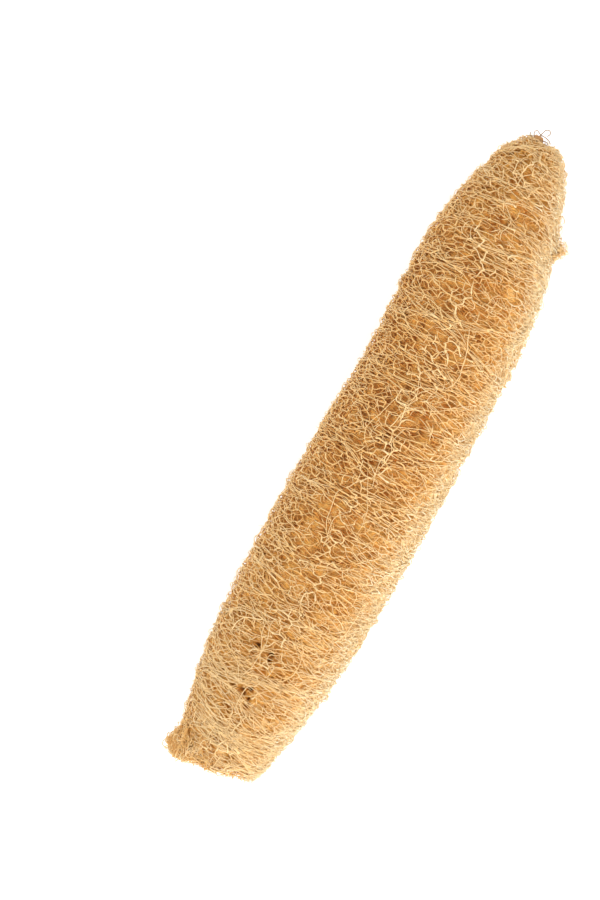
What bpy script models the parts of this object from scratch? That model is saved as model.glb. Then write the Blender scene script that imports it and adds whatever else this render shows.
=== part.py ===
"""A natural loofah sponge: the dried fibre net of one whole gourd, grown as one piece and lying on its side.

Lengths are in metres and Z is up. X runs along the sponge, from its cut end at -X to its stem end at +X.
The origin lies on the supporting surface, under the middle of the bounding box.
"""

import math
import random

import bmesh
import bpy
from mathutils import Matrix, Vector
from mathutils.geometry import delaunay_2d_cdt

MM = 0.001
NAME = "loofah"
SEED = 27
SAME_POINT = 0.01

# The outline from the cut rim to the stem scar: distance along X and radius, in millimetres. Both ends are closed flat.
OUTLINE = [
    (1.0, 18.2), (0.0, 20.2), (1.8, 22.3), (6.5, 24.0), (17.5, 26.4), (35.0, 29.8), (52.0, 32.5), (75.0, 34.6),
    (120.0, 36.2), (175.0, 35.7), (215.0, 34.5), (262.0, 34.1), (282.0, 32.8), (298.0, 30.2), (315.0, 25.8),
    (331.0, 20.4), (341.0, 15.6), (347.3, 9.8), (349.6, 4.0),
]
# The middle line's sideways place along the sponge, in millimetres: it leans a little towards -Y past its middle.
MIDDLE_LINE = [(-10.0, 1.4), (35.0, 1.4), (105.0, -0.6), (175.0, -2.6), (235.0, -4.2), (300.0, -1.4), (360.0, 0.4)]
OUTLINE_STEPS = 8
MIDDLE_STEPS = 6
HEIGHT_SHARE = 0.97
# How far the sponge has settled: everything below this height over its lowest point is pressed flat.
SETTLE = 2.8

# Shallow swells that run along the gourd: count round it, height as a share of the radius, and turn in radians.
SWELLS = [(3, 0.012, 0.4), (5, 0.008, 1.9)]

# One mesh of the net: its length along the sponge and round it, in millimetres. Meshes are rounder near both ends.
CELL_LENGTH = 6.3
CELL_ROUND = 12.6
END_CELL_ROUND = 8.0
END_REACH = 34.0
TRIES_BEFORE_FULL = 2500
SHORTEST_STRAND = 1.3
STRAND_RISE = 0.45
PIT_DEPTH = 2.5
PIT_SHARE_OF_WIDTH = 0.6
PIT_SCALE = 0.72
# The torn rim is matted: relief starts there at this share of its height and is whole this far in, in millimetres.
RIM_RELIEF = 0.25
RIM_RELIEF_REACH = 24.0
FLAT_STRAND_SCALE = 0.80

# A torn lip flares from the cut rim towards +Y, and a small knot of fibre stands out on the other side.
LIP_HEIGHT = 8.0
LIP_REACH = 15.0
LIP_ANGLE = math.radians(8.0)
LIP_SPREAD = math.radians(26.0)
# The torn rim isn't straight: count of waves round it, how far they reach along X, in millimetres, and turn.
RIM_WAVES = [(2, 1.5, 0.9), (5, 0.7, 2.1)]
KNOT_PLACE = 308.0
KNOT_ANGLE = math.radians(176.0)
KNOT_HEIGHT = 4.2
KNOT_SIZE = 3.6

# Three seed chambers open at the cut end: their middle's distance from the axis and their half sizes.
CHAMBER_COUNT = 3
CHAMBER_OFFSET = 10.8
CHAMBER_HALF_ROUND = 7.8
CHAMBER_HALF_RADIAL = 5.6
CHAMBER_DEPTH = 118.0
CHAMBER_TURN = math.radians(90.0)
CHAMBER_SIDES = 14
CHAMBER_END_RINGS = 3


def smooth_points(points, steps):
    """A Catmull-Rom curve through the points, with this many steps to each span."""
    ends = [2 * Vector(points[0]) - Vector(points[1]), 2 * Vector(points[-1]) - Vector(points[-2])]
    held = [ends[0], *map(Vector, points), ends[1]]
    curve = []
    for before, start, end, after in zip(held, held[1:], held[2:], held[3:]):
        for step in range(steps):
            t = step / steps
            curve.append(
                0.5
                * (
                    2 * start
                    + (end - before) * t
                    + (2 * before - 5 * start + 4 * end - after) * t**2
                    + (3 * start - before - 3 * end + after) * t**3
                )
            )
    return [*curve, held[-2]]


def between(table, value):
    """Linear interpolation in a table of (key, value) rows."""
    for (low, at_low), (high, at_high) in zip(table, table[1:]):
        if value <= high:
            return at_low + (at_high - at_low) * max(0.0, (value - low) / (high - low))
    return table[-1][1]


class Outline:
    """The sponge's turned outline, read by the distance run along it."""

    def __init__(self):
        self.rows = []
        run = spread = 0.0
        points = smooth_points(OUTLINE, OUTLINE_STEPS)
        for last, point in zip([points[0], *points], points):
            step = (point - last).length
            radius = (point.y + last.y) / 2
            run += step
            spread += step / radius
            self.rows.append((run, point.x, point.y, spread))
        self.length = run
        self.spread = spread

    def read(self, key, key_column, column):
        return between([(row[key_column], row[column]) for row in self.rows], key)

    def radius_at(self, run):
        return self.read(run, 0, 2)

    def spread_at(self, run):
        return self.read(run, 0, 3)

    def run_at(self, spread):
        return self.read(spread, 3, 0)

    def place(self, run, angle):
        """The point of the sponge's skin at a distance along the outline and an angle from +Y towards +Z."""
        x = self.read(run, 0, 1)
        radius = self.radius_at(run)
        radius *= 1 + sum(height * math.cos(count * angle + turn) for count, height, turn in SWELLS)
        radius += lip_rise(x, radius, angle) + knot_rise(x, radius, angle)
        side = between(SMOOTH_MIDDLE, x)
        x += rim_shift(x, angle)
        return Vector((x, side + radius * math.cos(angle), HEIGHT_SHARE * radius * math.sin(angle)))


SMOOTH_MIDDLE = [tuple(point) for point in smooth_points(MIDDLE_LINE, MIDDLE_STEPS)]


def turn_between(angle, other):
    """The turn from one angle to another, the short way round."""
    return (angle - other + math.pi) % (2 * math.pi) - math.pi


def lip_rise(x, radius, angle):
    """How far the torn lip pushes the rim outwards."""
    along = max(0.0, 1 - x / LIP_REACH) ** 2
    inward = min(1.0, radius / OUTLINE[2][1]) ** 3
    return LIP_HEIGHT * along * inward * math.exp(-((turn_between(angle, LIP_ANGLE) / LIP_SPREAD) ** 2))


def rim_shift(x, angle):
    """How far the torn rim's waves move a point along X."""
    along = max(0.0, 1 - x / END_REACH) ** 2
    return along * sum(height * math.cos(count * angle + turn) for count, height, turn in RIM_WAVES)


def knot_rise(x, radius, angle):
    """How far the small knot of fibre stands out of the side."""
    away = math.hypot(x - KNOT_PLACE, radius * turn_between(angle, KNOT_ANGLE)) / KNOT_SIZE
    return KNOT_HEIGHT * math.exp(-(away**2))


def cell_round(run, outline):
    """How wide one mesh of the net is round the sponge."""
    share = min(1.0, min(run, outline.length - run) / END_REACH)
    return END_CELL_ROUND + (CELL_ROUND - END_CELL_ROUND) * share


def seed_points(outline, draw):
    """One seed for each mesh of the net, never closer than one mesh, as (run, angle). The first lies underneath."""
    widest = max(row[2] for row in outline.rows)
    middle = outline.length / 2
    seeds = [(middle, -math.pi / 2)]
    misses = 0
    while misses < TRIES_BEFORE_FULL:
        run = draw.uniform(0, outline.length)
        angle = draw.uniform(-math.pi, math.pi)
        radius = outline.radius_at(run)
        if draw.random() > radius / widest:
            continue
        width = cell_round(run, outline)
        near = any(
            abs(run - other_run) < CELL_LENGTH
            and math.hypot((run - other_run) / CELL_LENGTH, radius * turn_between(angle, other) / width) < 1
            for other_run, other in seeds
        )
        misses = misses + 1 if near else 0
        if not near:
            seeds.append((run, angle))
    return seeds


def net_cells(outline, seeds):
    """The net's meshes: for each seed, the corners (run, angle) round it.

    The skin is unrolled so that shapes keep their proportions, with the seeds repeated round it and mirrored
    past both ends. The corners are then the middles of the circles through each three neighbouring seeds.
    """
    stretch = CELL_ROUND / CELL_LENGTH
    full = outline.spread * stretch
    flat = [(outline.spread_at(run) * stretch, angle) for run, angle in seeds]
    points = [
        (along, angle + turn * 2 * math.pi)
        for turn in (0, -1, 1)
        for mirror in (lambda a: a, lambda a: -a, lambda a: 2 * full - a)
        for along, angle in ((mirror(a), b) for a, b in flat)
    ]
    _, _, triangles, origins, _, _ = delaunay_2d_cdt([Vector(p) for p in points], [], [], 0, 1e-7)
    cells = [[] for _ in seeds]
    for triangle in triangles:
        corners = [origins[i][0] for i in triangle]
        owners = [i for i in corners if i < len(seeds)]
        if not owners:
            continue
        centre = circle_centre(*(Vector(points[i]) for i in corners))
        for owner in owners:
            cells[owner].append(centre)
    found = []
    for (along, angle), corners in zip(flat, cells):
        corners.sort(key=lambda c: math.atan2(c.y - angle, c.x - along))
        found.append([(outline.run_at(min(max(c.x / stretch, 0.0), outline.spread)), c.y) for c in corners])
    return found


def circle_centre(a, b, c):
    """The middle of the circle through three points of the plane."""
    ab, ac = b - a, c - a
    double_area = 2 * (ab.x * ac.y - ab.y * ac.x)
    x = (ac.y * ab.length_squared - ab.y * ac.length_squared) / double_area
    y = (ab.x * ac.length_squared - ac.x * ab.length_squared) / double_area
    return a + Vector((x, y))


def skin(outline, draw):
    """The sponge's skin as one closed bmesh of net cells, in millimetres, pressed flat underneath."""
    bm = bmesh.new()
    for corners in net_cells(outline, seed_points(outline, draw)):
        bm.faces.new([bm.verts.new(outline.place(run, angle)) for run, angle in corners])
    bmesh.ops.remove_doubles(bm, verts=bm.verts, dist=SAME_POINT)
    bmesh.ops.remove_doubles(bm, verts=bm.verts, dist=SHORTEST_STRAND)
    bmesh.ops.holes_fill(bm, edges=[edge for edge in bm.edges if edge.is_boundary], sides=0)
    bmesh.ops.recalc_face_normals(bm, faces=bm.faces)
    for vertex in bm.verts:
        vertex.co += vertex.normal * draw.uniform(-STRAND_RISE, STRAND_RISE) * relief_at(vertex.co)
    floor = min(vertex.co.z for vertex in bm.verts) + SETTLE
    for vertex in bm.verts:
        vertex.co.z = max(vertex.co.z - floor, 0.0)
    bm.normal_update()
    return bm


def relief_at(point):
    """How much of the net's relief is left at a point: little at the matted rim."""
    return min(1.0, max(RIM_RELIEF, point.x / RIM_RELIEF_REACH))


def sink(bm, faces, scale, depth):
    """Draws each face in towards its own middle, sinks it by its depth and makes it flat."""
    sunk = bmesh.ops.extrude_discrete_faces(bm, faces=faces)["faces"]
    bm.normal_update()
    for face in sunk:
        middle = face.calc_center_median()
        inward = -face.normal
        sinking = depth(face)
        for vertex in face.verts:
            across = (vertex.co - middle) * scale
            vertex.co = middle + across - across.project(inward) + inward * sinking
    return sunk


def pit_depth(face):
    """How deep an opening of the net goes: less where its mesh is narrow and near the matted rim."""
    half_width = 2 * face.calc_area() / face.calc_perimeter()
    return min(PIT_DEPTH, PIT_SHARE_OF_WIDTH * half_width) * relief_at(face.calc_center_median())


def raise_net(bm):
    """Sinks an opening in every mesh of the net but the middle one of those that the sponge rests on."""
    resting = [face for face in bm.faces if all(vertex.co.z == 0 for vertex in face.verts)]
    standing = [face for face in bm.faces if face not in resting]
    resting.sort(key=lambda face: abs(face.calc_center_median().x - OUTLINE[-1][0] / 2))
    narrowed = sink(bm, resting[1:], FLAT_STRAND_SCALE, lambda face: 0.0)
    sink(bm, narrowed, PIT_SCALE, pit_depth)
    sink(bm, standing, PIT_SCALE, pit_depth)


def new_object(name, bm, collection):
    """Turns a bmesh in millimetres into an object in metres."""
    bmesh.ops.recalc_face_normals(bm, faces=bm.faces)
    bmesh.ops.scale(bm, vec=(MM,) * 3, verts=bm.verts)
    mesh = bpy.data.meshes.new(name)
    bm.to_mesh(mesh)
    bm.free()
    made = bpy.data.objects.new(name, mesh)
    collection.objects.link(made)
    return made


def chamber_cutter(number, axis_height, collection):
    """One seed chamber: a bore of oval section that runs in from the cut end and is round at its inner end."""
    bm = bmesh.new()
    made = bmesh.ops.create_uvsphere(bm, u_segments=CHAMBER_SIDES, v_segments=4 * CHAMBER_END_RINGS, radius=1.0)
    bmesh.ops.rotate(bm, verts=made["verts"], matrix=Matrix.Rotation(math.pi / 2, 3, "Y"))
    mouth = [vertex for vertex in bm.verts if vertex.co.x < SAME_POINT]
    for vertex in bm.verts:
        vertex.co.x *= CHAMBER_HALF_ROUND
        vertex.co.y *= CHAMBER_HALF_ROUND
        vertex.co.z *= CHAMBER_HALF_RADIAL
    bmesh.ops.translate(bm, verts=mouth, vec=(-CHAMBER_DEPTH, 0, 0))
    bmesh.ops.translate(bm, verts=bm.verts, vec=(CHAMBER_DEPTH - CHAMBER_HALF_ROUND, 0, CHAMBER_OFFSET))
    turn = CHAMBER_TURN + number * 2 * math.pi / CHAMBER_COUNT - math.pi / 2
    bmesh.ops.rotate(bm, verts=bm.verts, matrix=Matrix.Rotation(turn, 3, "X"))
    bmesh.ops.translate(bm, verts=bm.verts, vec=(0, MIDDLE_LINE[0][1], axis_height))
    cutter = new_object(f"chamber_cutter_{number}", bm, collection)
    cutter.hide_render = True
    cutter.display_type = "WIRE"
    return cutter


def fibre_material():
    """Dry straw-coloured fibre."""
    material = bpy.data.materials.new("dry_fibre")
    material.use_nodes = True
    shader = material.node_tree.nodes["Principled BSDF"]
    shader.inputs["Base Color"].default_value = (0.76, 0.50, 0.23, 1.0)
    shader.inputs["Roughness"].default_value = 0.72
    shader.inputs["Metallic"].default_value = 0.0
    return material


def build():
    """Clears the scene, grows the sponge and opens its chambers."""
    for old in list(bpy.data.objects):
        bpy.data.objects.remove(old)
    part = bpy.data.collections.new("natural_loofah_sponge")
    cutters = bpy.data.collections.new("cutters")
    for collection in (part, cutters):
        bpy.context.scene.collection.children.link(collection)
    outline = Outline()
    bm = skin(outline, random.Random(SEED))
    axis_height = outline.radius_at(outline.length / 2) * HEIGHT_SHARE - SETTLE
    raise_net(bm)
    sponge = new_object(NAME, bm, part)
    sponge.data.materials.append(fibre_material())
    for number in range(CHAMBER_COUNT):
        cut = sponge.modifiers.new(f"chamber_{number}", "BOOLEAN")
        cut.operation = "DIFFERENCE"
        cut.object = chamber_cutter(number, axis_height, cutters)
    corners = [Vector(corner) for corner in sponge.bound_box]
    middle = (corners[0] + corners[6]) / 2
    for made in bpy.data.objects:
        made.location = (-middle.x, -middle.y, 0)


build()
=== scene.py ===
"""The looks of a natural loofah sponge: layers of dried fibre net over a matted core.

Lengths are in millimetres until a mesh is written, which is in metres. X runs from the torn, cut end to the
stem end and Z is up. An angle goes round the gourd from +Y towards +Z. A run is a distance along the gourd's
outline, from the cut rim to the stem scar, and a lift is a height over its skin.
"""

import logging
import math
from dataclasses import dataclass
from enum import Enum
from typing import Any

import bmesh
import bpy
import numpy as np
from mathutils import Matrix, Vector
from mathutils.geometry import delaunay_2d_cdt


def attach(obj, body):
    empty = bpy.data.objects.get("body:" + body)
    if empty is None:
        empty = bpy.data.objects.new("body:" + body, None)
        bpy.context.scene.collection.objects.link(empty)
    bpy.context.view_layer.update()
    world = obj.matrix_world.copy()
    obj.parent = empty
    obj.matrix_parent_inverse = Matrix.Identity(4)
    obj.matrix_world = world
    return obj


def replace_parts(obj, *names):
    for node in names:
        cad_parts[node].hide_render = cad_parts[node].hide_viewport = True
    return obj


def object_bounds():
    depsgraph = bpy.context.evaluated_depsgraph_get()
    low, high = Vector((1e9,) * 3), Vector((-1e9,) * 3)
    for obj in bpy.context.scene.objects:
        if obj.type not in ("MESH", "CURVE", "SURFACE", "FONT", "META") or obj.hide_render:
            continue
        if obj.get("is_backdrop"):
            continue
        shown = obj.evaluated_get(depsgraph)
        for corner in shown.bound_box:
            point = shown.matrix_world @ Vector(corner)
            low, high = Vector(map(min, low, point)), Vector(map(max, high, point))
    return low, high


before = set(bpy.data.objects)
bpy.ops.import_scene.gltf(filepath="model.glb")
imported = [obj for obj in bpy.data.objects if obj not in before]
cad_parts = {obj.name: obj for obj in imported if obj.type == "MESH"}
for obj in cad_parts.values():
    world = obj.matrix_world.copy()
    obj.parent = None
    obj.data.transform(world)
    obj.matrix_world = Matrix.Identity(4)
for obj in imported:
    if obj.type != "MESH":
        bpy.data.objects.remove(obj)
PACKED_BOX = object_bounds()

log = logging.getLogger("loofah")

Colour = tuple[float, float, float]
Row = tuple[float, float]
Triple = tuple[float, float, float]
Array = np.ndarray
Pair = tuple[Array, Array]
Draw = np.random.Generator
Inputs = dict[str | int, Any]
Piece = bpy.types.Object

MM = 0.001
FULL_TURN = 2 * math.pi
NODE = "loofah"
BODY = "root"

# The gourd's outline from its cut rim to its stem scar: distance along X and radius.
OUTLINE: tuple[Row, ...] = (
    (1.0, 18.2), (0.0, 20.2), (1.8, 22.3), (6.5, 24.0), (17.5, 26.4), (35.0, 29.8), (52.0, 32.5),
    (75.0, 34.6), (120.0, 36.2), (175.0, 35.7), (215.0, 34.5), (262.0, 34.1), (282.0, 32.8),
    (298.0, 30.2), (315.0, 25.8), (331.0, 20.4), (341.0, 15.6), (347.3, 9.8), (349.6, 4.0),
)
OUTLINE_STEPS = 8
# The middle line's sideways place along the gourd.
MIDDLE_LINE: tuple[Row, ...] = (
    (-10.0, 1.4), (35.0, 1.4), (105.0, -0.6), (175.0, -2.6), (235.0, -4.2), (300.0, -1.4), (360.0, 0.4),
)
MIDDLE_STEPS = 6
HEIGHT_SHARE = 0.97
# Where the outline's own zero and the middle line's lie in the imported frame.
FRAME_SHIFT = np.array((-174.58, 1.22, 32.6))
# What is pressed against the surface lies this far over it, and what is deeper lies higher by this share.
PRESSED = 0.5
PRESSED_SHARE = 0.8

# Swells round the skin: how many there are round it, their height as a share of the radius, and their turn.
SWELLS = ((3, 0.012, 0.4), (5, 0.008, 1.9))
# The torn lip: its height, how far in it reaches and how sharply, the radius from which it is whole, its
# place and its half width.
LIP_HEIGHT = 6.5
LIP_REACH = 8.0
LIP_SHARPNESS = 2.0
LIP_RADIUS = OUTLINE[2][1]
LIP_ANGLE = math.radians(8.0)
LIP_SPREAD = math.radians(20.0)
# Beside the lip the torn net hangs out past the rim like a tongue: how far, from how far in, and where.
TONGUE_LENGTH = 4.8
TONGUE_REACH = 16.0
TONGUE_ANGLE = math.radians(28.0)
TONGUE_SPREAD = math.radians(20.0)
# Waves of the cut rim along X: how many lie round it, their height and turn, and how far in they die out.
RIM_WAVES = ((2, 1.5, 0.9), (5, 0.7, 2.1))
RIM_WAVE_REACH = 34.0
# The swelling under the small tangle of fibre on the side, along the outline's X and round the gourd.
KNOT_PLACE = 308.0
KNOT_ANGLE = math.radians(176.0)
KNOT_HEIGHT = 3.6
KNOT_SIZE = 3.4

# How deep the matted core starts, under all the nets.
CORE_DEPTH = 2.7

# The three seed chambers behind the cut end: their axis height, distance from the axis, half sizes and depth.
CHAMBER_AXIS = (2.62, 31.79)
CHAMBER_ANGLES = tuple(math.radians(degrees) for degrees in (90.0, 210.0, 330.0))
CHAMBER_OFFSET = 10.8
CHAMBER_HALF_ROUND = 7.8
CHAMBER_HALF_RADIAL = 5.6
CHAMBER_DEPTH = 118.0
# How far in the cut face lies, from the outline's zero.
CUT_FACE_PLACE = 1.9

# Slow drifts of the net along the gourd: height in mm, length of a wave along it, waves round it, and turn.
DRIFTS = ((1.5, 74.0, 1, 0.3), (1.0, 33.0, -2, 1.7), (0.6, 19.0, 3, 4.1), (0.4, 12.0, -5, 2.6))
DRIFT_FADE = 22.0
# How far the rings of fibre lean, at three runs and evenly between them: their top towards the cut end and
# their underside towards the stem, and their +Y side towards the stem and the other towards the cut end.
LEAN_RUNS = (60.0, 200.0, 330.0)
RING_LEAN = (-2.0, -2.5, -5.5)
RING_TILT = (3.0, 1.5, 3.2)
# The side where the net is finer and painted paler as light, the side towards the key lamp, and the share
# and length of the paler stretch behind the cut, which is painted light too.
PALE_ANGLE = math.radians(170.0)
PALE_SPREAD = math.radians(46.0)
PALE_SHARE = 0.28
PALE_RUN = 95.0
# The torn lip is browner than the rest of the cut end, and so is the stretch from the middle to the stem.
BROWN_LIP_SPREAD = math.radians(34.0)
BROWN_LIP_RUN = 24.0
BROWN_LIP_SLOPE = 1.2
BROWN_LIP_SHARE = 1.4
BROWN_SHARE = 0.28
BROWN_RUN = 120.0
BROWN_REACH = 60.0
BROWN_END = 35.0
# Low lumps all over the skin: how many waves make them up, their height, their shortest and longest wave.
LUMPS = 16
LUMP_HEIGHT = 0.13
LUMP_WAVES = (6.0, 17.0)
LUMP_SEED = 5

# Where the fibre is thin and the inside shows, painted dark as its shade, seen from above: X, Y and half
# width.
DARK_SPOTS = (
    (-107.4, 14.4, 1.5), (-107.6, 4.4, 1.5), (-110.9, 4.4, 1.0), (-130.5, 10.4, 1.5), (-132.7, 8.4, 1.1),
    (-128.7, 5.8, 1.4), (-133.5, 4.6, 1.2), (-136.5, 3.9, 1.2), (-130.6, 14.8, 1.1),
)
# Openings that show the golden inside, which is painted darker there as shade.
OPEN_SPOTS = (
    (146.2, 3.5, 2.0), (143.1, -0.5, 1.4), (140.6, -2.0, 1.6), (140.7, -6.2, 1.7), (157.0, 1.5, 1.5),
    (131.4, 2.0, 1.6), (125.2, 5.0, 1.5), (114.7, 16.2, 1.4), (123.7, -4.1, 1.5), (141.8, 14.5, 1.3),
    (29.3, -2.0, 1.9), (30.5, -7.6, 1.8), (20.7, 10.3, 1.6), (21.7, 6.1, 1.5), (23.0, -11.0, 1.6),
    (23.7, -16.1, 1.5), (9.6, 4.9, 1.2), (5.8, -5.4, 1.3), (6.2, 15.9, 1.6), (0.1, 2.6, 1.4),
    (-9.5, 16.9, 2.0), (-17.8, 9.5, 1.5), (-29.5, 16.7, 1.7), (-27.8, 12.2, 1.5), (-36.3, 15.0, 1.3),
    (-41.5, 14.7, 1.4), (-40.4, 11.0, 1.4), (-63.0, 5.0, 1.4), (-94.0, 11.0, 1.4), (-99.0, 6.0, 1.3),
    (-118.1, 7.9, 1.9), (-117.5, 3.9, 1.7), (-124.5, 0.3, 1.5), (-136.6, 12.0, 1.3), (-141.4, 15.6, 1.3),
)
# Lengthwise bands where few strands run round, so that the openings are rounder: angle and half width.
ROUND_BANDS = (
    (math.radians(84.0), math.radians(15.0)),
    (math.radians(205.0), math.radians(13.0)),
    (math.radians(325.0), math.radians(14.0)),
)

# Pale stray strands that lie over the net, seen from above: X and Y of each bend.
STRAY_STRANDS = (
    ((-117.5, 18.5), (-121.5, 15.5), (-126.5, 13.0)),
    ((-120.7, 2.3), (-124.5, 4.1), (-126.8, 7.2), (-130.6, 8.2), (-134.4, 8.2), (-139.8, 8.1)),
    ((-138.4, 8.3), (-140.4, 5.9), (-143.3, 2.7)),
    ((-142.9, 3.1), (-146.0, 2.6), (-150.1, 3.6), (-153.7, 3.3)),
    ((-111.0, 1.0), (-113.5, 0.5), (-117.5, 1.0), (-119.5, 2.5)),
    ((-157.5, 9.7), (-162.4, 13.7), (-165.8, 14.2), (-170.8, 14.3)),
    ((-136.1, -11.6), (-134.9, -9.0), (-134.4, -6.2), (-132.4, -3.6)),
    ((142.3, 8.6), (139.5, 5.1), (136.6, 1.8), (133.5, -1.1), (129.8, -0.9), (126.5, 0.5), (123.1, -0.8)),
    ((151.5, 5.7), (150.4, 3.0), (150.6, -0.5), (150.9, -5.1), (150.5, -8.4)),
    ((155.9, 3.2), (153.4, 4.0), (150.3, 4.0), (148.1, 4.4), (145.2, 7.5)),
    ((138.6, -2.6), (139.2, -6.4), (138.8, -14.6)),
    ((22.0, -2.2), (17.3, -0.4), (12.9, 0.4), (8.5, -1.4), (3.4, 1.2), (-4.4, 0.3), (-11.9, -1.5)),
    ((29.7, -5.9), (28.0, -9.9), (22.9, -17.8)),
    ((-18.3, 11.4), (-21.8, 12.7), (-27.2, 12.0), (-34.0, 11.1), (-41.5, 8.3)),
    ((-19.8, 23.5), (-22.9, 25.8), (-26.0, 24.0), (-25.9, 18.7)),
    ((-45.5, 6.5), (-37.0, 8.0), (-32.5, 8.0), (-29.0, 5.5), (-30.5, 2.0)),
    ((-70.5, 3.5), (-73.5, 1.5), (-77.5, -1.0)),
    ((-88.0, 16.0), (-84.0, 8.5), (-79.5, 3.5)),
    ((-96.5, 8.0), (-92.5, 5.5), (-88.5, 1.5)),
)


def smooth_points(rows: tuple[Row, ...], steps: int) -> Array:
    """Draws a Catmull-Rom curve.

    Args:
        rows: the points that it passes through.
        steps: how many steps each span takes.

    Returns:
        Its points, one a row.
    """
    points = np.array(rows)
    held = np.vstack((2 * points[0] - points[1], points, 2 * points[-1] - points[-2]))
    t = np.arange(steps)[:, None] / steps
    spans = [
        0.5 * (2 * b + (c - a) * t + (2 * a - 5 * b + 4 * c - d) * t**2 + (3 * b - a - 3 * c + d) * t**3)
        for a, b, c, d in zip(held, held[1:], held[2:], held[3:])
    ]
    return np.vstack((*spans, points[-1]))


def unit(vectors: Array) -> Array:
    """Vectors of the same directions with a length of 1."""
    return vectors / np.maximum(np.linalg.norm(vectors, axis=-1, keepdims=True), 1e-9)


def turn_between(angle: Array, other: float) -> Array:
    """The turn from one angle to another, the short way round."""
    return (angle - other + math.pi) % FULL_TURN - math.pi


def waves(angle: Array, rows: tuple[tuple[int, float, float], ...]) -> Array:
    """The sum of waves round the gourd, each with its count, height and turn."""
    return sum(height * np.cos(count * angle + turn) for count, height, turn in rows)


def bell(away: Array, power: int = 2) -> Array:
    """A hump that is 1 where the distance is 0 and about 0 past 1 or 2, flatter on top for a higher power."""
    return np.exp(-(away**power))


def shares(segments: int) -> Array:
    """The share of a strand's length at each of its points, from 0 to 1, as one row."""
    return np.linspace(0.0, 1.0, segments + 1)[None]


def surfacing(t: Array, steepness: float) -> Array:
    """How far a strand is out of the net at each share of its length: 0 at both ends and 1 between them."""
    return np.minimum(1.0, steepness * np.minimum(t, 1 - t))


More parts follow.
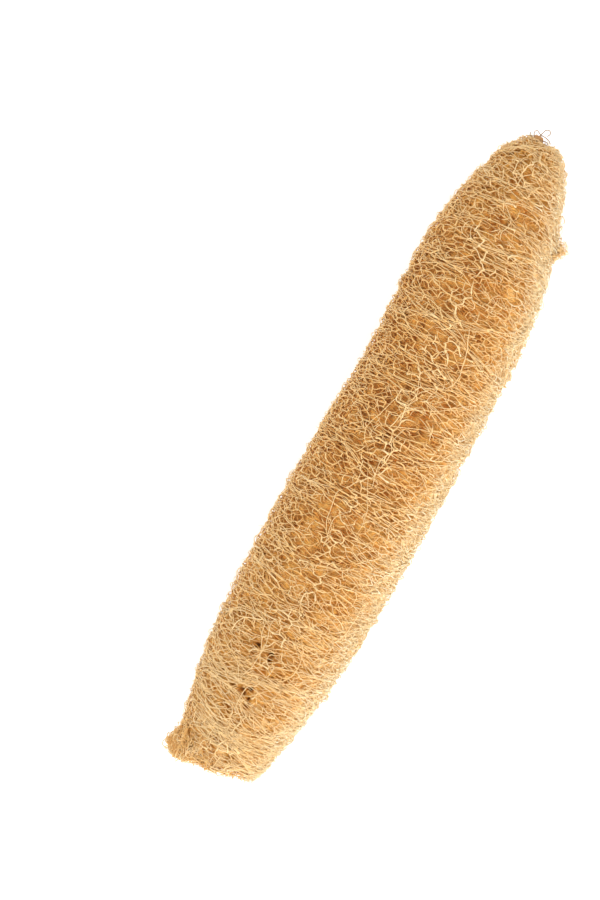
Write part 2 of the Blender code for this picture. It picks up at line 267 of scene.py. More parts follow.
class Gourd:
    """The grown form that every fibre follows: an outline turned round a middle line that leans a little."""

    def __init__(self) -> None:
        """Reads the outline into tables by run."""
        points = smooth_points(OUTLINE, OUTLINE_STEPS)
        steps = np.linalg.norm(np.diff(points, axis=0), axis=1)
        self.run = np.concatenate(([0.0], np.cumsum(steps)))
        self.spread = np.concatenate(([0.0], np.cumsum(2 * steps / (points[1:, 1] + points[:-1, 1]))))
        self.x, self.radius = points.T
        tangent = unit(np.gradient(points, self.run, axis=0))
        self.out_x, self.out_radius = -tangent[:, 1], tangent[:, 0]
        self.middle = smooth_points(MIDDLE_LINE, MIDDLE_STEPS).T
        self.length = float(self.run[-1])
        draw = np.random.default_rng(LUMP_SEED)
        share = draw.uniform(-1.0, 1.0, LUMPS)
        wave = draw.uniform(*LUMP_WAVES, LUMPS)
        self.lump_along = FULL_TURN / wave * np.sqrt(1 - share**2)
        self.lump_round = np.round(FULL_TURN / wave * share * self.radius.max())
        self.lump_turn = draw.uniform(0.0, FULL_TURN, LUMPS)

    def radius_at(self, run: Array | float) -> Array:
        """The outline's radius at a run."""
        return np.interp(run, self.run, self.radius)

    def run_at_x(self, x: Array | float) -> Array:
        """The run of the outline's side at a distance along its X."""
        start = int(np.argmin(self.x))
        return np.interp(x, self.x[start:], self.run[start:])

    def swollen(self, x: Array, radius: Array, angle: Array) -> Array:
        """The radius with the swells, the torn lip and the knot of fibre.

        Args:
            x: distances along the outline's X.
            radius: the plain radii there.
            angle: angles round the gourd.

        Returns:
            The radii of the real skin.
        """
        radius = radius * (1 + waves(angle, SWELLS))
        along = np.maximum(0.0, 1 - x / LIP_REACH) ** LIP_SHARPNESS
        along = along * np.minimum(1.0, radius / LIP_RADIUS) ** 3
        radius = radius + LIP_HEIGHT * along * bell(turn_between(angle, LIP_ANGLE) / LIP_SPREAD)
        away = np.hypot(x - KNOT_PLACE, radius * turn_between(angle, KNOT_ANGLE)) / KNOT_SIZE
        return radius + KNOT_HEIGHT * bell(away) + self.lumps(x, angle)

    @staticmethod
    def tongue(x: Array, angle: Array, depth: Array) -> Array:
        """How far the torn net hangs out past the rim. The core under it doesn't."""
        near = np.clip(1 - x / TONGUE_REACH, 0.0, 1.0) ** 2
        wide = bell(turn_between(angle, TONGUE_ANGLE) / TONGUE_SPREAD, 4)
        return TONGUE_LENGTH * near * wide * np.clip(CORE_DEPTH - depth, 0.0, 1.0)

    def spots(self, run: Array, angle: Array, rows: tuple[Triple, ...]) -> Array:
        """How near each place is to a thin spot.

        Args:
            run: the places' runs.
            angle: the places' angles.
            rows: the spots, each with its X, Y and half width.

        Returns:
            1 in the middle of a spot, and about 0 outside it.
        """
        share = np.zeros(np.shape(run))
        for x, y, size in rows:
            spot_run, spot_angle = self.under(np.array(x), np.array(y))
            away = np.hypot(run - spot_run, self.radius_at(run) * turn_between(angle, float(spot_angle)))
            share = np.maximum(share, bell(away / size))
        return share

    def lumps(self, x: Array, angle: Array) -> Array:
        """The height of the low lumps."""
        rows = zip(self.lump_along, self.lump_round, self.lump_turn)
        return LUMP_HEIGHT * sum(np.sin(along * x + count * angle + turn) for along, count, turn in rows)

    def framed(self, x: Array, radius: Array, angle: Array, depth: Array) -> Array:
        """Points of the frame, pressed against the surface underneath.

        Args:
            x: distances along the outline's X.
            radius: distances from the middle line.
            angle: angles round the gourd.
            depth: how far under the skin each point lies.

        Returns:
            The points, in millimetres.
        """
        side = np.interp(x, *self.middle) + radius * np.cos(angle)
        shift = np.maximum(0.0, 1 - x / RIM_WAVE_REACH) ** 2 * waves(angle, RIM_WAVES)
        shift = shift - self.tongue(x, angle, depth)
        points = np.stack((x + shift, side, HEIGHT_SHARE * radius * np.sin(angle)), -1) + FRAME_SHIFT
        points[..., 2] = np.maximum(points[..., 2], PRESSED + PRESSED_SHARE * np.maximum(depth, 0.0))
        return points

    def place(self, run: Array, angle: Array, lift: Array | float) -> Array:
        """Points over or under the skin.

        Args:
            run: distances along the outline.
            angle: angles round the gourd.
            lift: heights over the skin, less than zero under it.

        Returns:
            The points, in millimetres.
        """
        lift = np.broadcast_to(lift, np.shape(run))
        x = np.interp(run, self.run, self.x)
        radius = self.swollen(x, self.radius_at(run), angle)
        x = x + lift * np.interp(run, self.run, self.out_x)
        return self.framed(x, radius + lift * np.interp(run, self.run, self.out_radius), angle, -lift)

    def drifted(self, run: Array, angle: Array) -> Array:
        """Runs moved by the slow drifts, which die out towards both ends."""
        fade = np.clip(np.minimum(run, self.length - run) / DRIFT_FADE, 0.0, 1.0)
        moved = sum(
            height * np.sin(FULL_TURN * run / wave + count * angle + turn)
            for height, wave, count, turn in DRIFTS
        )
        lean = np.interp(run, LEAN_RUNS, RING_LEAN) * np.sin(angle)
        tilt = np.interp(run, LEAN_RUNS, RING_TILT) * np.cos(angle)
        return run + fade * (moved - lean + tilt)

    def lit_pale(self, run: Array, angle: Array) -> Array:
        """How pale, as painted light, and fine the net is: 1 on the key-lit side, less behind the cut, under
        0 where brown.
        """
        side = bell(turn_between(angle, PALE_ANGLE) / PALE_SPREAD)
        lip = bell(turn_between(angle, TONGUE_ANGLE) / BROWN_LIP_SPREAD)
        lip = lip * np.clip(BROWN_LIP_SLOPE * (1 - run / BROWN_LIP_RUN), 0.0, 1.0)
        cut = PALE_SHARE * np.clip(1 - run / PALE_RUN, 0.0, 1.0) * (1 - BROWN_LIP_SHARE * lip)
        end = self.length - BROWN_END
        brown = BROWN_SHARE * np.clip(np.minimum(run - BROWN_RUN, end - run) / BROWN_REACH, 0.0, 1.0)
        return np.where(cut < 0, cut, np.maximum(side, cut)) - brown * (1 - side)

    def under(self, x: Array, y: Array) -> Pair:
        """What lies straight under points seen from above.

        Args:
            x: their X in the frame.
            y: their Y in the frame.

        Returns:
            The run and the angle of each.
        """
        along = x - FRAME_SHIFT[0]
        run = self.run_at_x(along)
        side = y - FRAME_SHIFT[1] - np.interp(along, *self.middle)
        return run, np.arccos(np.clip(side / self.radius_at(run), -1.0, 1.0))

    def walk(
        self, run: Array, angle: Array, heading: Array, length: Array, segments: int, turns: Array
    ) -> Pair:
        """Paths over the skin that turn a little at each step.

        Args:
            run: where each starts.
            angle: where each starts.
            heading: the direction each starts in, 0 round the gourd and a quarter turn along it.
            length: how long each is.
            segments: how many steps each takes.
            turns: the turn before each step, one path a row.

        Returns:
            The runs and angles of each path's points, one path a row.
        """
        headings = heading[:, None] + np.cumsum(turns, axis=1)
        runs, angles = [run], [angle]
        for step in range(segments):
            stride = length / segments
            moved = runs[-1] + stride * np.sin(headings[:, step])
            runs.append(np.clip(moved, 0.0, self.length))
            angles.append(angles[-1] + stride * np.cos(headings[:, step]) / self.radius_at(runs[-1]))
        return np.stack(runs, 1), np.stack(angles, 1)


class Wire:
    """One output of a node tree. Arithmetic on it adds the Math nodes that work it out."""

    def __init__(self, recipe: "Recipe", socket: bpy.types.NodeSocket) -> None:
        """Holds a socket and the recipe that it belongs to."""
        self.recipe = recipe
        self.socket = socket

    def _with(self, operation: str, first: Any, second: Any) -> "Wire":
        """The result of a Math node on two values or wires."""
        made = self.recipe.node("ShaderNodeMath", {"operation": operation}, {0: first, 1: second})
        return Wire(self.recipe, made.outputs[0])

    def __add__(self, other: Any) -> "Wire":
        """self + other."""
        return self._with("ADD", self, other)

    def __radd__(self, other: Any) -> "Wire":
        """other + self."""
        return self._with("ADD", other, self)

    def __sub__(self, other: Any) -> "Wire":
        """self - other."""
        return self._with("SUBTRACT", self, other)

    def __rsub__(self, other: Any) -> "Wire":
        """other - self."""
        return self._with("SUBTRACT", other, self)

    def __mul__(self, other: Any) -> "Wire":
        """self * other."""
        return self._with("MULTIPLY", self, other)

    def __rmul__(self, other: Any) -> "Wire":
        """other * self."""
        return self._with("MULTIPLY", other, self)

    def arctan2(self, other: Any) -> "Wire":
        """The angle whose tangent is self / other."""
        return self._with("ARCTAN2", self, other)

    def clamped(self) -> "Wire":
        """The same value kept between 0 and 1."""
        return self._with("MAXIMUM", self._with("MINIMUM", self, 1.0), 0.0)


class Recipe:
    """A new material and the nodes that are added to it."""

    NOISE_ROUGHNESS = 0.55

    def __init__(self, name: str) -> None:
        """Starts a material that has only its surface shader."""
        self.material = bpy.data.materials.new(name)
        self.material.use_nodes = True
        self.tree = self.material.node_tree
        self.surface = self.tree.nodes["Principled BSDF"]

    def node(self, kind: str, settings: dict[str, Any], inputs: Inputs) -> bpy.types.Node:
        """Adds a node.

        Args:
            kind: its type.
            settings: its own properties, which are set first.
            inputs: a value or a wire for each socket, by its identifier, name or number.

        Returns:
            The node.
        """
        made = self.tree.nodes.new(kind)
        for name, value in settings.items():
            setattr(made, name, value)
        for key, value in inputs.items():
            self.feed(self.found(made.inputs, key), value)
        return made

    def found(self, sockets: Any, key: str | int) -> bpy.types.NodeSocket:
        """The socket with that number, identifier or name."""
        if isinstance(key, int):
            return sockets[key]
        return next((socket for socket in sockets if socket.identifier == key), None) or sockets[key]

    def feed(self, socket: bpy.types.NodeSocket, value: Any) -> None:
        """Gives a socket a wire, or a value of its own."""
        if isinstance(value, Wire):
            self.tree.links.new(value.socket, socket)
        else:
            socket.default_value = value

    def wire(self, kind: str, settings: dict[str, Any], inputs: Inputs, output: str | int) -> Wire:
        """Adds a node and gives one of its outputs."""
        return Wire(self, self.found(self.node(kind, settings, inputs).outputs, output))

    def place(self) -> Wire:
        """The place of each point on the object, in metres."""
        return self.wire("ShaderNodeTexCoord", {}, {}, "Object")

    def tone(self) -> Wire:
        """The tone that the mesh holds at each point."""
        return self.wire("ShaderNodeAttribute", {"attribute_name": Fibres.TONE}, {}, "Fac")

    def noise(self, size: float, detail: float) -> Wire:
        """Soft noise through the piece.

        Args:
            size: how long one patch of it is, in millimetres.
            detail: how many finer layers it has.

        Returns:
            A value of about 0.5.
        """
        inputs = {"Vector": self.place(), "Scale": 1 / (size * MM), "Detail": detail}
        return self.wire("ShaderNodeTexNoise", {}, {**inputs, "Roughness": self.NOISE_ROUGHNESS}, 0)

    def grain(self, size: float, detail: float) -> Wire:
        """The same noise about 0."""
        return self.noise(size, detail) - 0.5

    def bump(self, height: Wire, strength: float, distance: float) -> Wire:
        """A normal that follows a height, which is a distance in millimetres where it is 1."""
        inputs = {"Height": height, "Strength": strength, "Distance": distance * MM}
        return self.wire("ShaderNodeBump", {}, inputs, "Normal")

    def mix(self, share: Wire, low: Colour | Wire, high: Colour | Wire) -> Wire:
        """A colour between two, by a share."""
        inputs = {
            "Factor_Float": share,
            "A_Color": low if isinstance(low, Wire) else (*low, 1.0),
            "B_Color": high if isinstance(high, Wire) else (*high, 1.0),
        }
        return self.wire("ShaderNodeMix", {"data_type": "RGBA"}, inputs, "Result_Color")

    def finished(self, inputs: dict[str, Any]) -> bpy.types.Material:
        """Feeds the surface shader's sockets, by their names, and gives the material."""
        for name, value in inputs.items():
            self.feed(self.surface.inputs[name], value)
        return self.material


@dataclass(frozen=True)
class FibreFinish:
    """Dried plant fibre: it is paler outside and where it is thick, and darker and redder where it dives,
    partly as painted shade.
    """

    name: str
    outer: Colour
    deep: Colour
    # The palest colour: painted light where the net is painted pale on the key-lit side and behind the cut,
    # and the fibre's own where its tone is high anyway.
    lit_pale: Colour = (0.94, 0.83, 0.59)
    roughness: float = 0.58
    patch_size: float = 24.0
    patch_share: float = 0.55
    grain_size: float = 2.2
    grain_share: float = 0.35
    # How much rougher deep fibre and the coarse side of the grain are.
    deep_roughness: float = 0.12
    grain_roughness: float = 0.2
    # The fibrils along its surface: their size and height, and how strongly they show.
    fibril_size: float = 0.5
    fibril_height: float = 0.1
    bump: float = 0.25
    specular: float = 0.32
    sheen: float = 0.06

    def material(self) -> bpy.types.Material:
        """Builds the material.

        Returns:
            It, with a colour that follows the mesh's own tone.
        """
        recipe = Recipe(self.name)
        patches = recipe.grain(self.patch_size, 2.0)
        grain = recipe.grain(self.grain_size, 3.0)
        level = recipe.tone() + patches * self.patch_share + grain * self.grain_share
        share = level.clamped()
        plain = recipe.mix(share, self.deep, self.outer)
        rough = self.deep_roughness * (0.5 - share) + grain * self.grain_roughness + self.roughness
        # A tone over 1, mostly the painted light of the key-lit side and the cut end, turns the colour to the
        # palest.
        return recipe.finished(
            {
                "Base Color": recipe.mix((level - 1.0).clamped(), plain, self.lit_pale),
                "Roughness": rough.clamped(),
                "Normal": recipe.bump(recipe.noise(self.fibril_size, 2.0), self.bump, self.fibril_height),
                "Specular IOR Level": self.specular,
                "Sheen Weight": self.sheen,
            }
        )


OUTER_FIBRE = FibreFinish("outer_fibre", outer=(0.92, 0.61, 0.255), deep=(0.82, 0.46, 0.145))
PALE_FIBRE = FibreFinish("pale_fibre", outer=(0.95, 0.70, 0.36), deep=(0.88, 0.56, 0.22))
MIDDLE_FIBRE = FibreFinish(
    "middle_fibre", outer=(0.90, 0.55, 0.19), deep=(0.80, 0.41, 0.10), lit_pale=(0.96, 0.77, 0.45)
)
DEEP_FIBRE = FibreFinish(
    "deep_fibre", outer=(0.87, 0.48, 0.125), deep=(0.73, 0.32, 0.055), lit_pale=(0.97, 0.75, 0.42)
)
# The lip's deep colour is darker, which is partly painted shade under the flared lip.
LIP_FIBRE = FibreFinish(
    "lip_fibre", outer=(0.94, 0.60, 0.22), deep=(0.78, 0.38, 0.085), patch_size=5.0, patch_share=1.0
)
STEM_FIBRE = FibreFinish("stem_fibre", outer=(0.78, 0.44, 0.17), deep=(0.42, 0.18, 0.055), patch_size=3.0)
HAIR_FIBRE = FibreFinish("stem_hair", outer=(0.50, 0.35, 0.21), deep=(0.27, 0.16, 0.09), patch_size=3.0)


@dataclass(frozen=True)
class MattedFinish:
    """The matted inside: golden felt where high, red-brown where deep, partly painted shade, and painted dark
    shade in thin spots.

    Two felted nets of fine fibre run round it.
    """

    name: str = "matted_core"
    strand: Colour = (0.90, 0.53, 0.175)
    felt: Colour = (0.83, 0.42, 0.095)
    gap: Colour = (0.55, 0.19, 0.03)
    # The dark colour painted as the shade in the thin spots and the deepest openings.
    hole_shade: Colour = (0.13, 0.06, 0.018)
    # The pale colour painted as light on the key-lit side and behind the cut.
    lit_pale: Colour = (0.93, 0.73, 0.42)
    roughness: float = 0.8
    # Each net's mesh size along the gourd and round it, in millimetres, and how wide its strands are.
    upper_net: Triple = (1.9, 6.4, 0.16)
    lower_net: Triple = (1.3, 4.6, 0.14)
    # The radius at which the size round the gourd holds, and how far the lower net is moved along it.
    net_radius: float = 30.0
    lower_shift: float = 70.0
    # The size of the soft drift that bends both nets, and how far it does: along the gourd, and as a turn.
    drift_size: float = 14.0
    drift_along: float = 6.0
    drift_turn: float = 0.25
    mat_size: float = 6.0
    # The shares of the lower net and the mats in the felt, and of the upper net and the mats in the strands.
    felt_shares: Row = (0.35, 0.6)
    strand_shares: Row = (0.6, 0.3)
    mat_roughness: float = 0.3
    lower_height: float = 0.6
    bump: float = 0.9
    bump_height: float = 0.7
    specular: float = 0.2

    def material(self) -> bpy.types.Material:
        """Builds the material.

        Returns:
            It, with the two nets in its colour and bump.
        """
        recipe = Recipe(self.name)
        split = recipe.node("ShaderNodeSeparateXYZ", {}, {"Vector": recipe.place()})
        x, y, z = (Wire(recipe, split.outputs[axis]) for axis in "XYZ")
        drift = recipe.grain(self.drift_size, 2.0)
        turn = (y - FRAME_SHIFT[1] * MM).arctan2(z - FRAME_SHIFT[2] * MM)
        upper = self.net(recipe, x, turn, drift, self.upper_net)
        lower = self.net(recipe, x + self.lower_shift * MM, turn, drift, self.lower_net)
        mats = recipe.grain(self.mat_size, 3.0)
        tone = recipe.tone()
        level = tone + lower * self.felt_shares[0] + mats * self.felt_shares[1]
        strands = upper * self.strand_shares[0] + mats * self.strand_shares[1]
        felted = recipe.mix(level.clamped(), self.gap, self.felt)
        coloured = recipe.mix(strands.clamped(), felted, self.strand)
        # Painted light: paler towards the pale colour on the key-lit side and behind the cut.
        paled = recipe.mix((tone - 1.0).clamped(), coloured, self.lit_pale)
        height = upper + lower * self.lower_height + mats
        # Under a tone of 0, in the thin spots and openings, the colour turns to the dark painted shade.
        return recipe.finished(
            {
                "Base Color": recipe.mix((tone + 1.0).clamped(), self.hole_shade, paled),
                "Roughness": (mats * self.mat_roughness + self.roughness).clamped(),
                "Normal": recipe.bump(height, self.bump, self.bump_height),
                "Specular IOR Level": self.specular,
            }
        )

    def net(self, recipe: Recipe, x: Wire, turn: Wire, drift: Wire, size: Triple) -> Wire:
        """A felted net round the gourd.

        Args:
            recipe: the material.
            x: the distance along the gourd, in metres.
            turn: the angle round it.
            drift: a soft value that bends the net.
            size: one mesh along the gourd and round it, in millimetres, and the share that a strand takes.

        Returns:
            1 on the net's strands and 0 between them.
        """
        along = (x + drift * (self.drift_along * MM)) * (1 / (size[0] * MM))
        around = (turn + drift * self.drift_turn) * (self.net_radius / size[1])
        place = recipe.wire("ShaderNodeCombineXYZ", {}, {"X": along, "Y": around}, "Vector")
        settings = {"voronoi_dimensions": "2D", "feature": "DISTANCE_TO_EDGE"}
        edge = recipe.wire("ShaderNodeTexVoronoi", settings, {"Vector": place, "Scale": 1.0}, "Distance")
        return (1 - edge * (1 / size[2])).clamped()


class Fibres:
    """Strands gathered as three-sided tubes, and written as one mesh."""

    SIDES = 3
    TONE = "tone"
    # The bake's own map: each strand has a cell of it, with this share of its height left for both caps.
    MAP = "OFBake"
    CAP_SHARE = 0.1
    CAP_FILL = 0.9
    CAP_WIDTH = 0.4
    CELL_MARGIN = 0.06

    def __init__(self) -> None:
        """Starts with no strand."""
        self.batches: list[tuple[Array, Array, Array]] = []

    def add(self, points: Array, radius: Array | float, tone: Array | float) -> None:
        """Adds strands: their points in millimetres, one strand a row, and the radius and tone at each."""
        shape = points.shape[:2]
        self.batches.append((points, np.broadcast_to(radius, shape), np.broadcast_to(tone, shape)))

    def rings(self, points: Array, radius: Array) -> Array:
        """The corners round each point, carried along the strand without a twist.

        Args:
            points: the strands' points.
            radius: the radius at each.

        Returns:
            The corners, with axes for strand, point, side and coordinate.
        """
        tangents = unit(np.gradient(points, axis=1))
        chord = np.abs(points[:, -1] - points[:, 0])
        side = np.eye(3)[np.argmin(chord, axis=1)]
        corners = []
        for step in range(points.shape[1]):
            tangent = tangents[:, step]
            side = unit(side - np.sum(side * tangent, axis=1, keepdims=True) * tangent)
            over = np.cross(side, tangent)
            turns = [FULL_TURN * number / self.SIDES for number in range(self.SIDES)]
            ring = np.stack([math.cos(turn) * side + math.sin(turn) * over for turn in turns], 1)
            corners.append(points[:, step, None] + ring * radius[:, step, None, None])
        return np.stack(corners, 1)

    def faces(self, count: int, length: int, first: int) -> Pair:
        """The corner numbers of the side faces and of the caps.

        Args:
            count: how many strands there are.
            length: how many points each has.
            first: the number of the first corner.

        Returns:
            Four corners for each side face, and three for each cap.
        """
        base = first + np.arange(count * length * self.SIDES).reshape(count, length, self.SIDES)
        around = np.roll(base, -1, axis=2)
        quads = np.stack((base[:, :-1], base[:, 1:], around[:, 1:], around[:, :-1]), -1)
        caps = np.stack((base[:, 0], base[:, -1, ::-1]), 1)
        return quads, caps

    def map_corners(self, length: int, place: Array, cells: int) -> Pair:
        """Where the faces lie in the bake's map: sides in rows, caps in a strip over them.

        Args:
            length: how many points each strand has.
            place: the number of each strand's cell.
            cells: how many cells the map has each way.

        Returns:
            The map's places of the side faces' corners and of the caps' corners.
        """
        low = np.stack((place % cells, place // cells), -1) / cells
        inner = (1 - 2 * self.CELL_MARGIN) / cells
        low = low + self.CELL_MARGIN / cells
        along = np.linspace(0.0, 1.0, length)
        across = np.linspace(0.0, 1 - self.CAP_SHARE, self.SIDES + 1)
        quad = np.empty((length - 1, self.SIDES, 4, 2))
        quad[..., 0, 0] = quad[..., 3, 0] = along[:-1, None]
        quad[..., 1, 0] = quad[..., 2, 0] = along[1:, None]
        quad[..., 0, 1] = quad[..., 1, 1] = across[None, :-1]
        quad[..., 2, 1] = quad[..., 3, 1] = across[None, 1:]
        floor = 1 - self.CAP_FILL * self.CAP_SHARE
        ends = ((0.0, self.CAP_WIDTH), (1 - self.CAP_WIDTH, 1.0))
        cap = np.array([((left, floor), (right, floor), (left, 1.0)) for left, right in ends])
        quads = low[:, None, None, None] + inner * quad[None]
        return quads, low[:, None, None] + inner * cap[None]

    def write(self, name: str, material: bpy.types.Material) -> Piece:
        """Writes the strands as one object in metres.

        Args:
            name: the object's name.
            material: its finish.

        Returns:
            The object, linked to the scene.
        """
        corners, tones, loops, starts, places = [], [], [], [], []
        first = loop = strand = 0
        cells = math.ceil(math.sqrt(sum(len(points) for points, _, _ in self.batches)))
        for points, radius, tone in self.batches:
            count, length = points.shape[:2]
            quads, caps = self.faces(count, length, first)
            quad_map, cap_map = self.map_corners(length, strand + np.arange(count), cells)
            corners.append(self.rings(points, radius).reshape(-1, 3))
            tones.append(np.repeat(tone.reshape(-1), self.SIDES))
            for face, at in ((quads, quad_map), (caps, cap_map)):
                loops.append(face.reshape(-1))
                places.append(at.reshape(-1, 2))
                starts.append(loop + face.shape[-1] * np.arange(face.size // face.shape[-1]))
                loop += face.size
            first += count * length * self.SIDES
            strand += count
        mesh = bpy.data.meshes.new(name)
        mesh.vertices.add(first)
        mesh.loops.add(loop)
        mesh.polygons.add(sum(len(part) for part in starts))
        mesh.vertices.foreach_set("co", (np.concatenate(corners) * MM).astype(np.float32).ravel())
        mesh.loops.foreach_set("vertex_index", np.concatenate(loops).astype(np.int32))
        mesh.polygons.foreach_set("loop_start", np.concatenate(starts).astype(np.int32))
        mesh.update(calc_edges=True)
        layer = mesh.uv_layers.new(name=self.MAP)
        layer.uv.foreach_set("vector", np.concatenate(places).astype(np.float32).ravel())
        toned(mesh, np.concatenate(tones))
        mesh.shade_smooth()
        return dress(linked(name, mesh), material)


def linked(name: str, data: bpy.types.ID) -> Piece:
    """A new object with that mesh, lamp or camera, linked to the scene."""
    made = bpy.data.objects.new(name, data)
    bpy.context.scene.collection.objects.link(made)
    return made


def toned(mesh: bpy.types.Mesh, tones: Array) -> None:
    """Writes the tone of each point into a mesh."""
    held = mesh.attributes.new(Fibres.TONE, "FLOAT", "POINT")
    held.data.foreach_set("value", tones.ravel().astype(np.float32))


def lofted(name: str, points: Array, tones: Array) -> Piece:
    """Makes a closed body through rings of points.

    Args:
        name: the object's name.
        points: the points in millimetres, with axes for ring, place round it and coordinate.
        tones: the tone of each point.

    Returns:
        The object, in metres and linked to the scene.
    """
    bm = bmesh.new()
    rings = [[bm.verts.new(point * MM) for point in ring] for ring in points]
    for low, high in zip(rings, rings[1:]):
        for number in range(len(low)):
            after = (number + 1) % len(low)
            bm.faces.new((low[number], low[after], high[after], high[number]))
    bm.faces.new(rings[0])
    bm.faces.new(rings[-1])
    bmesh.ops.recalc_face_normals(bm, faces=bm.faces)
    mesh = bpy.data.meshes.new(name)
    bm.to_mesh(mesh)
    bm.free()
    toned(mesh, tones)
    return linked(name, mesh)


def dress(piece: Piece, material: bpy.types.Material) -> Piece:
    """Gives a piece its finish and its place in the frame.

    Args:
        piece: the object.
        material: its finish.

    Returns:
        The same object.
    """
    piece.data.materials.append(material)
    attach(piece, BODY)
    log.info("%s: %d faces", piece.name, len(piece.data.polygons))
    return piece


@dataclass(frozen=True)
class Tuft:
    """One kind of short fibre: how many there are, their sizes, and how they curl where they grow free."""

    count: int
    segments: int
    lengths: Row
    # How far a fibre turns for a millimetre, in radians, and how far a step strays from that turn.
    curls: Row = (0.0, 0.0)
    unrest: float = 0.1
    # Whether the curls are drawn before the lengths.
    curls_first: bool = False
    # How far the directions stray, the radius at the root and at the tip, and how far that differs.
    wildness: float = 0.5
    radius: Row = (0.2, 0.1)
    variety: Row = (0.75, 1.25)

    def grow(self, start: Array, ahead: Array | Triple, draw: Draw) -> Array:
        """Grows the fibres.

        Args:
            start: where each starts.
            ahead: the direction that they stray from, one for all of them or one for each.
            draw: the random draws.

        Returns:
            Their points, one fibre a row.
        """
        direction = ahead + draw.normal(0.0, self.wildness, start.shape)
        if self.curls_first:
            curl, length = (draw.uniform(*limits, len(start)) for limits in (self.curls, self.lengths))
        else:
            length, curl = (draw.uniform(*limits, len(start)) for limits in (self.lengths, self.curls))
        axis = unit(np.cross(direction, draw.normal(size=start.shape)))
        heading = unit(direction)
        stride = (length / self.segments)[:, None]
        points = [start]
        for _ in range(self.segments):
            heading = heading + np.cross(axis, heading) * curl[:, None] * stride
            heading = unit(heading + draw.normal(0.0, self.unrest, start.shape))
            points.append(points[-1] + heading * stride)
        return np.stack(points, 1)

    def radii(self, count: int, draw: Draw) -> Array:
        """The radii of so many fibres, each of which is a little thicker or thinner."""
        return np.linspace(*self.radius, self.segments + 1)[None] * draw.uniform(*self.variety, (count, 1))


def loose_grid(rows: Array, columns: Array, size: float, jitter: float, draw: Draw) -> Array:
    """The points of a grid, each of which strays by up to a share of its size."""
    flat = np.stack([part.ravel() for part in np.meshgrid(rows, columns, indexing="ij")], -1)
    return flat + draw.uniform(-jitter, jitter, flat.shape) * size


class Sheet:
    """A surface that a net grows on, unrolled to flat coordinates."""

    def echoes(self, flat: Array) -> Pair:
        """The flat points with the copies that close the net, and the number of the point each comes from."""
        return flat, np.arange(len(flat))

    def holds(self, flat: Array) -> Array:
        """Whether each flat place belongs to the sheet."""
        raise NotImplementedError

    def scale(self, flat: Array) -> Array:
        """How many millimetres one unit of each flat coordinate is, at each place."""
        raise NotImplementedError

    def place(self, flat: Array, lift: Array) -> Array:
        """The points of the frame, in millimetres."""
        raise NotImplementedError


class RoundSheet(Sheet):
    """A surface that closes round an axis, so that its second flat coordinate is an angle."""

    # How far past a full turn the copies of the seeds reach.
    ANGLE_MARGIN = 2.2

    def __init__(self, full: float) -> None:
        """Sets how far the surface goes along its axis, in flat coordinates."""
        self.full = full

    def echoes(self, flat: Array) -> Pair:
        """The seeds, repeated round the axis."""
        points, owners = [flat], [np.arange(len(flat))]
        for turn in (-FULL_TURN, FULL_TURN):
            moved = flat + (0.0, turn)
            near = np.abs(moved[:, 1]) < math.pi + self.ANGLE_MARGIN
            points.append(moved[near])
            owners.append(np.flatnonzero(near))
        return np.concatenate(points), np.concatenate(owners)

    def holds(self, flat: Array) -> Array:
        """Whether each flat place lies on the surface, in its first turn."""
        along, angle = flat[:, 0], flat[:, 1]
        return (along > 0) & (along < self.full) & (angle >= -math.pi) & (angle < math.pi)


class SkinSheet(RoundSheet):
    """The gourd's whole skin. It is unrolled so that a mesh of the net keeps its proportions."""

    # How far past both ends the mirrored copies of the seeds reach.
    END_MARGIN = 3.0

    def __init__(self, gourd: Gourd, stretch: float) -> None:
        """Unrolls the skin.

        Args:
            gourd: the grown form.
            stretch: how much longer a mesh is round the gourd than along it.
        """
        super().__init__(gourd.spread[-1] * stretch)
        self.gourd = gourd
        self.stretch = stretch

    def seeds(self, along: float, round_: float, jitter: float, draw: Draw) -> Array:
        """One seed for each mesh, in loose rows round the gourd.

        Args:
            along: how long a mesh is along the gourd.
            round_: how long it is round it.
            jitter: how far a seed strays, as a share of that.
            draw: the random draws.

        Returns:
            The seeds in flat coordinates.
        """
        found = []
        for row, run in enumerate(np.arange(along / 2, self.gourd.length, along)):
            count = max(3, round(FULL_TURN * float(self.gourd.radius_at(run)) / round_))
            steps = np.arange(count) + row % 2 / 2 + draw.uniform(-jitter, jitter, count)
            runs = np.clip(run + draw.uniform(-jitter, jitter, count) * along, 0.0, self.gourd.length)
            flat = np.interp(runs, self.gourd.run, self.gourd.spread) * self.stretch
            angles = (steps * FULL_TURN / count) % FULL_TURN - math.pi
            found.append(np.stack((flat, angles), -1))
        return np.concatenate(found)

    def echoes(self, flat: Array) -> Pair:
        """The seeds, repeated round the gourd and mirrored past both ends."""
        points, owners = super().echoes(flat)
        mirrored, sources = [points], [owners]
        for end in (0.0, self.full):
            near = np.abs(points[:, 0] - end) < self.END_MARGIN
            mirrored.append(points[near] * (-1, 1) + (2 * end, 0.0))
            sources.append(owners[near])
        return np.concatenate(mirrored), np.concatenate(sources)

    def run_at(self, flat: Array) -> Array:
        """The run at each flat place."""
        return np.interp(flat[..., 0] / self.stretch, self.gourd.spread, self.gourd.run)

    def scale(self, flat: Array) -> Array:
        """How many millimetres one unit of each flat coordinate is."""
        radius = self.gourd.radius_at(self.run_at(flat))
        return np.stack((radius / self.stretch, radius), -1)

    def place(self, flat: Array, lift: Array) -> Array:
        """The points of the frame, with the slow drifts of the net."""
        run, angle = self.run_at(flat), flat[..., 1]
        return self.gourd.place(self.gourd.drifted(run, angle), angle, lift)


